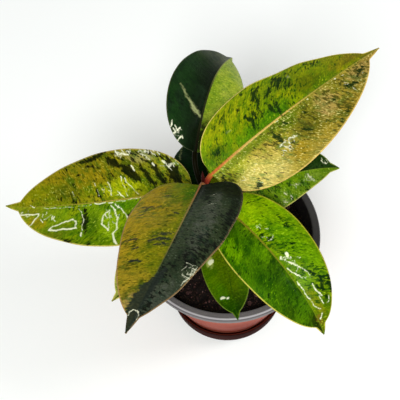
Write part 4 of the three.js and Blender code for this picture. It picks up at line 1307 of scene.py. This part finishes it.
def bud_material():
    paint = Paint("bud_crimson")
    stretched = paint.add("Mapping", {"Vector": paint.place(), "Scale": (1.0, 1.0, 0.15)})
    streak = paint.noise(stretched, 1400.0, 3.0)
    colour = paint.layers(
        0x3e0e0e,
        (0x240808, streak, 0.35, 0.7, 1.0),
        (0x6e301e, height_of(paint), 0.2165, 0.2125, 0.6),
    )
    return paint.finished(colour, paint.fade(streak, 0.3, 0.7, 0.28, 0.42), 0.1, streak, 0.0002, 0.6)


def add_bud():
    """The pointed sheath round the next leaf, leaning back from the topmost stalks."""
    t = np.linspace(0, 1, BUD_RINGS)
    shape = [(0, 0.6), (0.12, 0.95), (0.24, 1), (0.55, 0.8), (0.88, 0.35), (1, 0.06)]
    radius = BUD_RADIUS * np.interp(t, *zip(*shape))
    angle = round_angles(BUD_SIDES)
    seam = 1 - 0.1 * np.exp(-((angle - 2.0 - t[:, None]) / 0.25) ** 2)
    rings = round_points(radius[:, None] * seam, angle, BUD_LENGTH * t[:, None])
    lean = np.array(Matrix.Rotation(-BUD_LEAN, 3, "X"))
    rings = rings @ lean.T + stem_axis(STEM_TIP) + np.array([0.2, 1.3, 0.7])
    dress(ring_mesh("bud_sheath_fine", rings), "bud_sheath", bud_material())


# Floor, light and camera, metres and watts

WORLD_STRENGTH = 0.42
LIGHT_AIM = Vector((0.0, 0.0, 0.15))
LENS = 72.0
SENSOR = 36.0
CAMERA_PLACE = Vector((-0.0206, -0.2989, 0.7451))
CAMERA_DOWN = math.radians(61.7)
CAMERA_ROLL = math.radians(-4.0)


def add_floor():
    bpy.ops.mesh.primitive_plane_add(size=8, location=(0, 0, 0))
    floor = bpy.context.object
    floor.name = "floor"
    paint = Paint("floor_card")
    colour = paint.mix(paint.noise(paint.place(), 3.0, 2.0), 0xf8faf8, 0xf4f7f5)
    floor.data.materials.append(paint.finished(colour, 0.9, 0.1))


def add_softbox(name, place, size, watts):
    light = bpy.data.lights.new(name, "AREA")
    light.shape = "DISK"
    light.size = size
    light.energy = watts
    holder = bpy.data.objects.new(name, light)
    holder.location = place
    holder.rotation_euler = (LIGHT_AIM - Vector(place)).to_track_quat("-Z", "Y").to_euler()
    bpy.context.scene.collection.objects.link(holder)


def add_light():
    world = bpy.data.worlds.new("studio")
    world.use_nodes = True
    background = world.node_tree.nodes["Background"]
    background.inputs["Color"].default_value = (1.0, 1.0, 1.0, 1.0)
    background.inputs["Strength"].default_value = WORLD_STRENGTH
    bpy.context.scene.world = world
    add_softbox("key", (-0.3, -1.45, 2.0), 1.0, 46)
    add_softbox("fill", (1.9, 0.15, 1.5), 0.9, 20)


def add_camera():
    data = bpy.data.cameras.new("camera")
    data.lens = LENS
    data.sensor_width = SENSOR
    data.clip_start = 0.01
    data.clip_end = 20
    forward = Vector((0, math.cos(CAMERA_DOWN), -math.sin(CAMERA_DOWN)))
    right = Vector((1, 0, 0))
    up = right.cross(forward)
    c, s = math.cos(CAMERA_ROLL), math.sin(CAMERA_ROLL)
    rolled_right, rolled_up = c * right + s * up, c * up - s * right
    turn = Matrix((rolled_right, rolled_up, -forward)).transposed().to_4x4()
    camera = bpy.data.objects.new("camera", data)
    camera.matrix_world = Matrix.Translation(CAMERA_PLACE) @ turn
    bpy.context.scene.collection.objects.link(camera)
    bpy.context.scene.camera = camera


add_floor()
add_light()
add_camera()
add_saucer()
add_pot()
add_liner()
add_soil()
add_crumbs()
add_stem()
add_bud()
for leaf_name, leaf_shape in LEAVES.items():
    add_leaf(leaf_name, leaf_shape)

bpy.context.scene.view_settings.view_transform = "Standard"
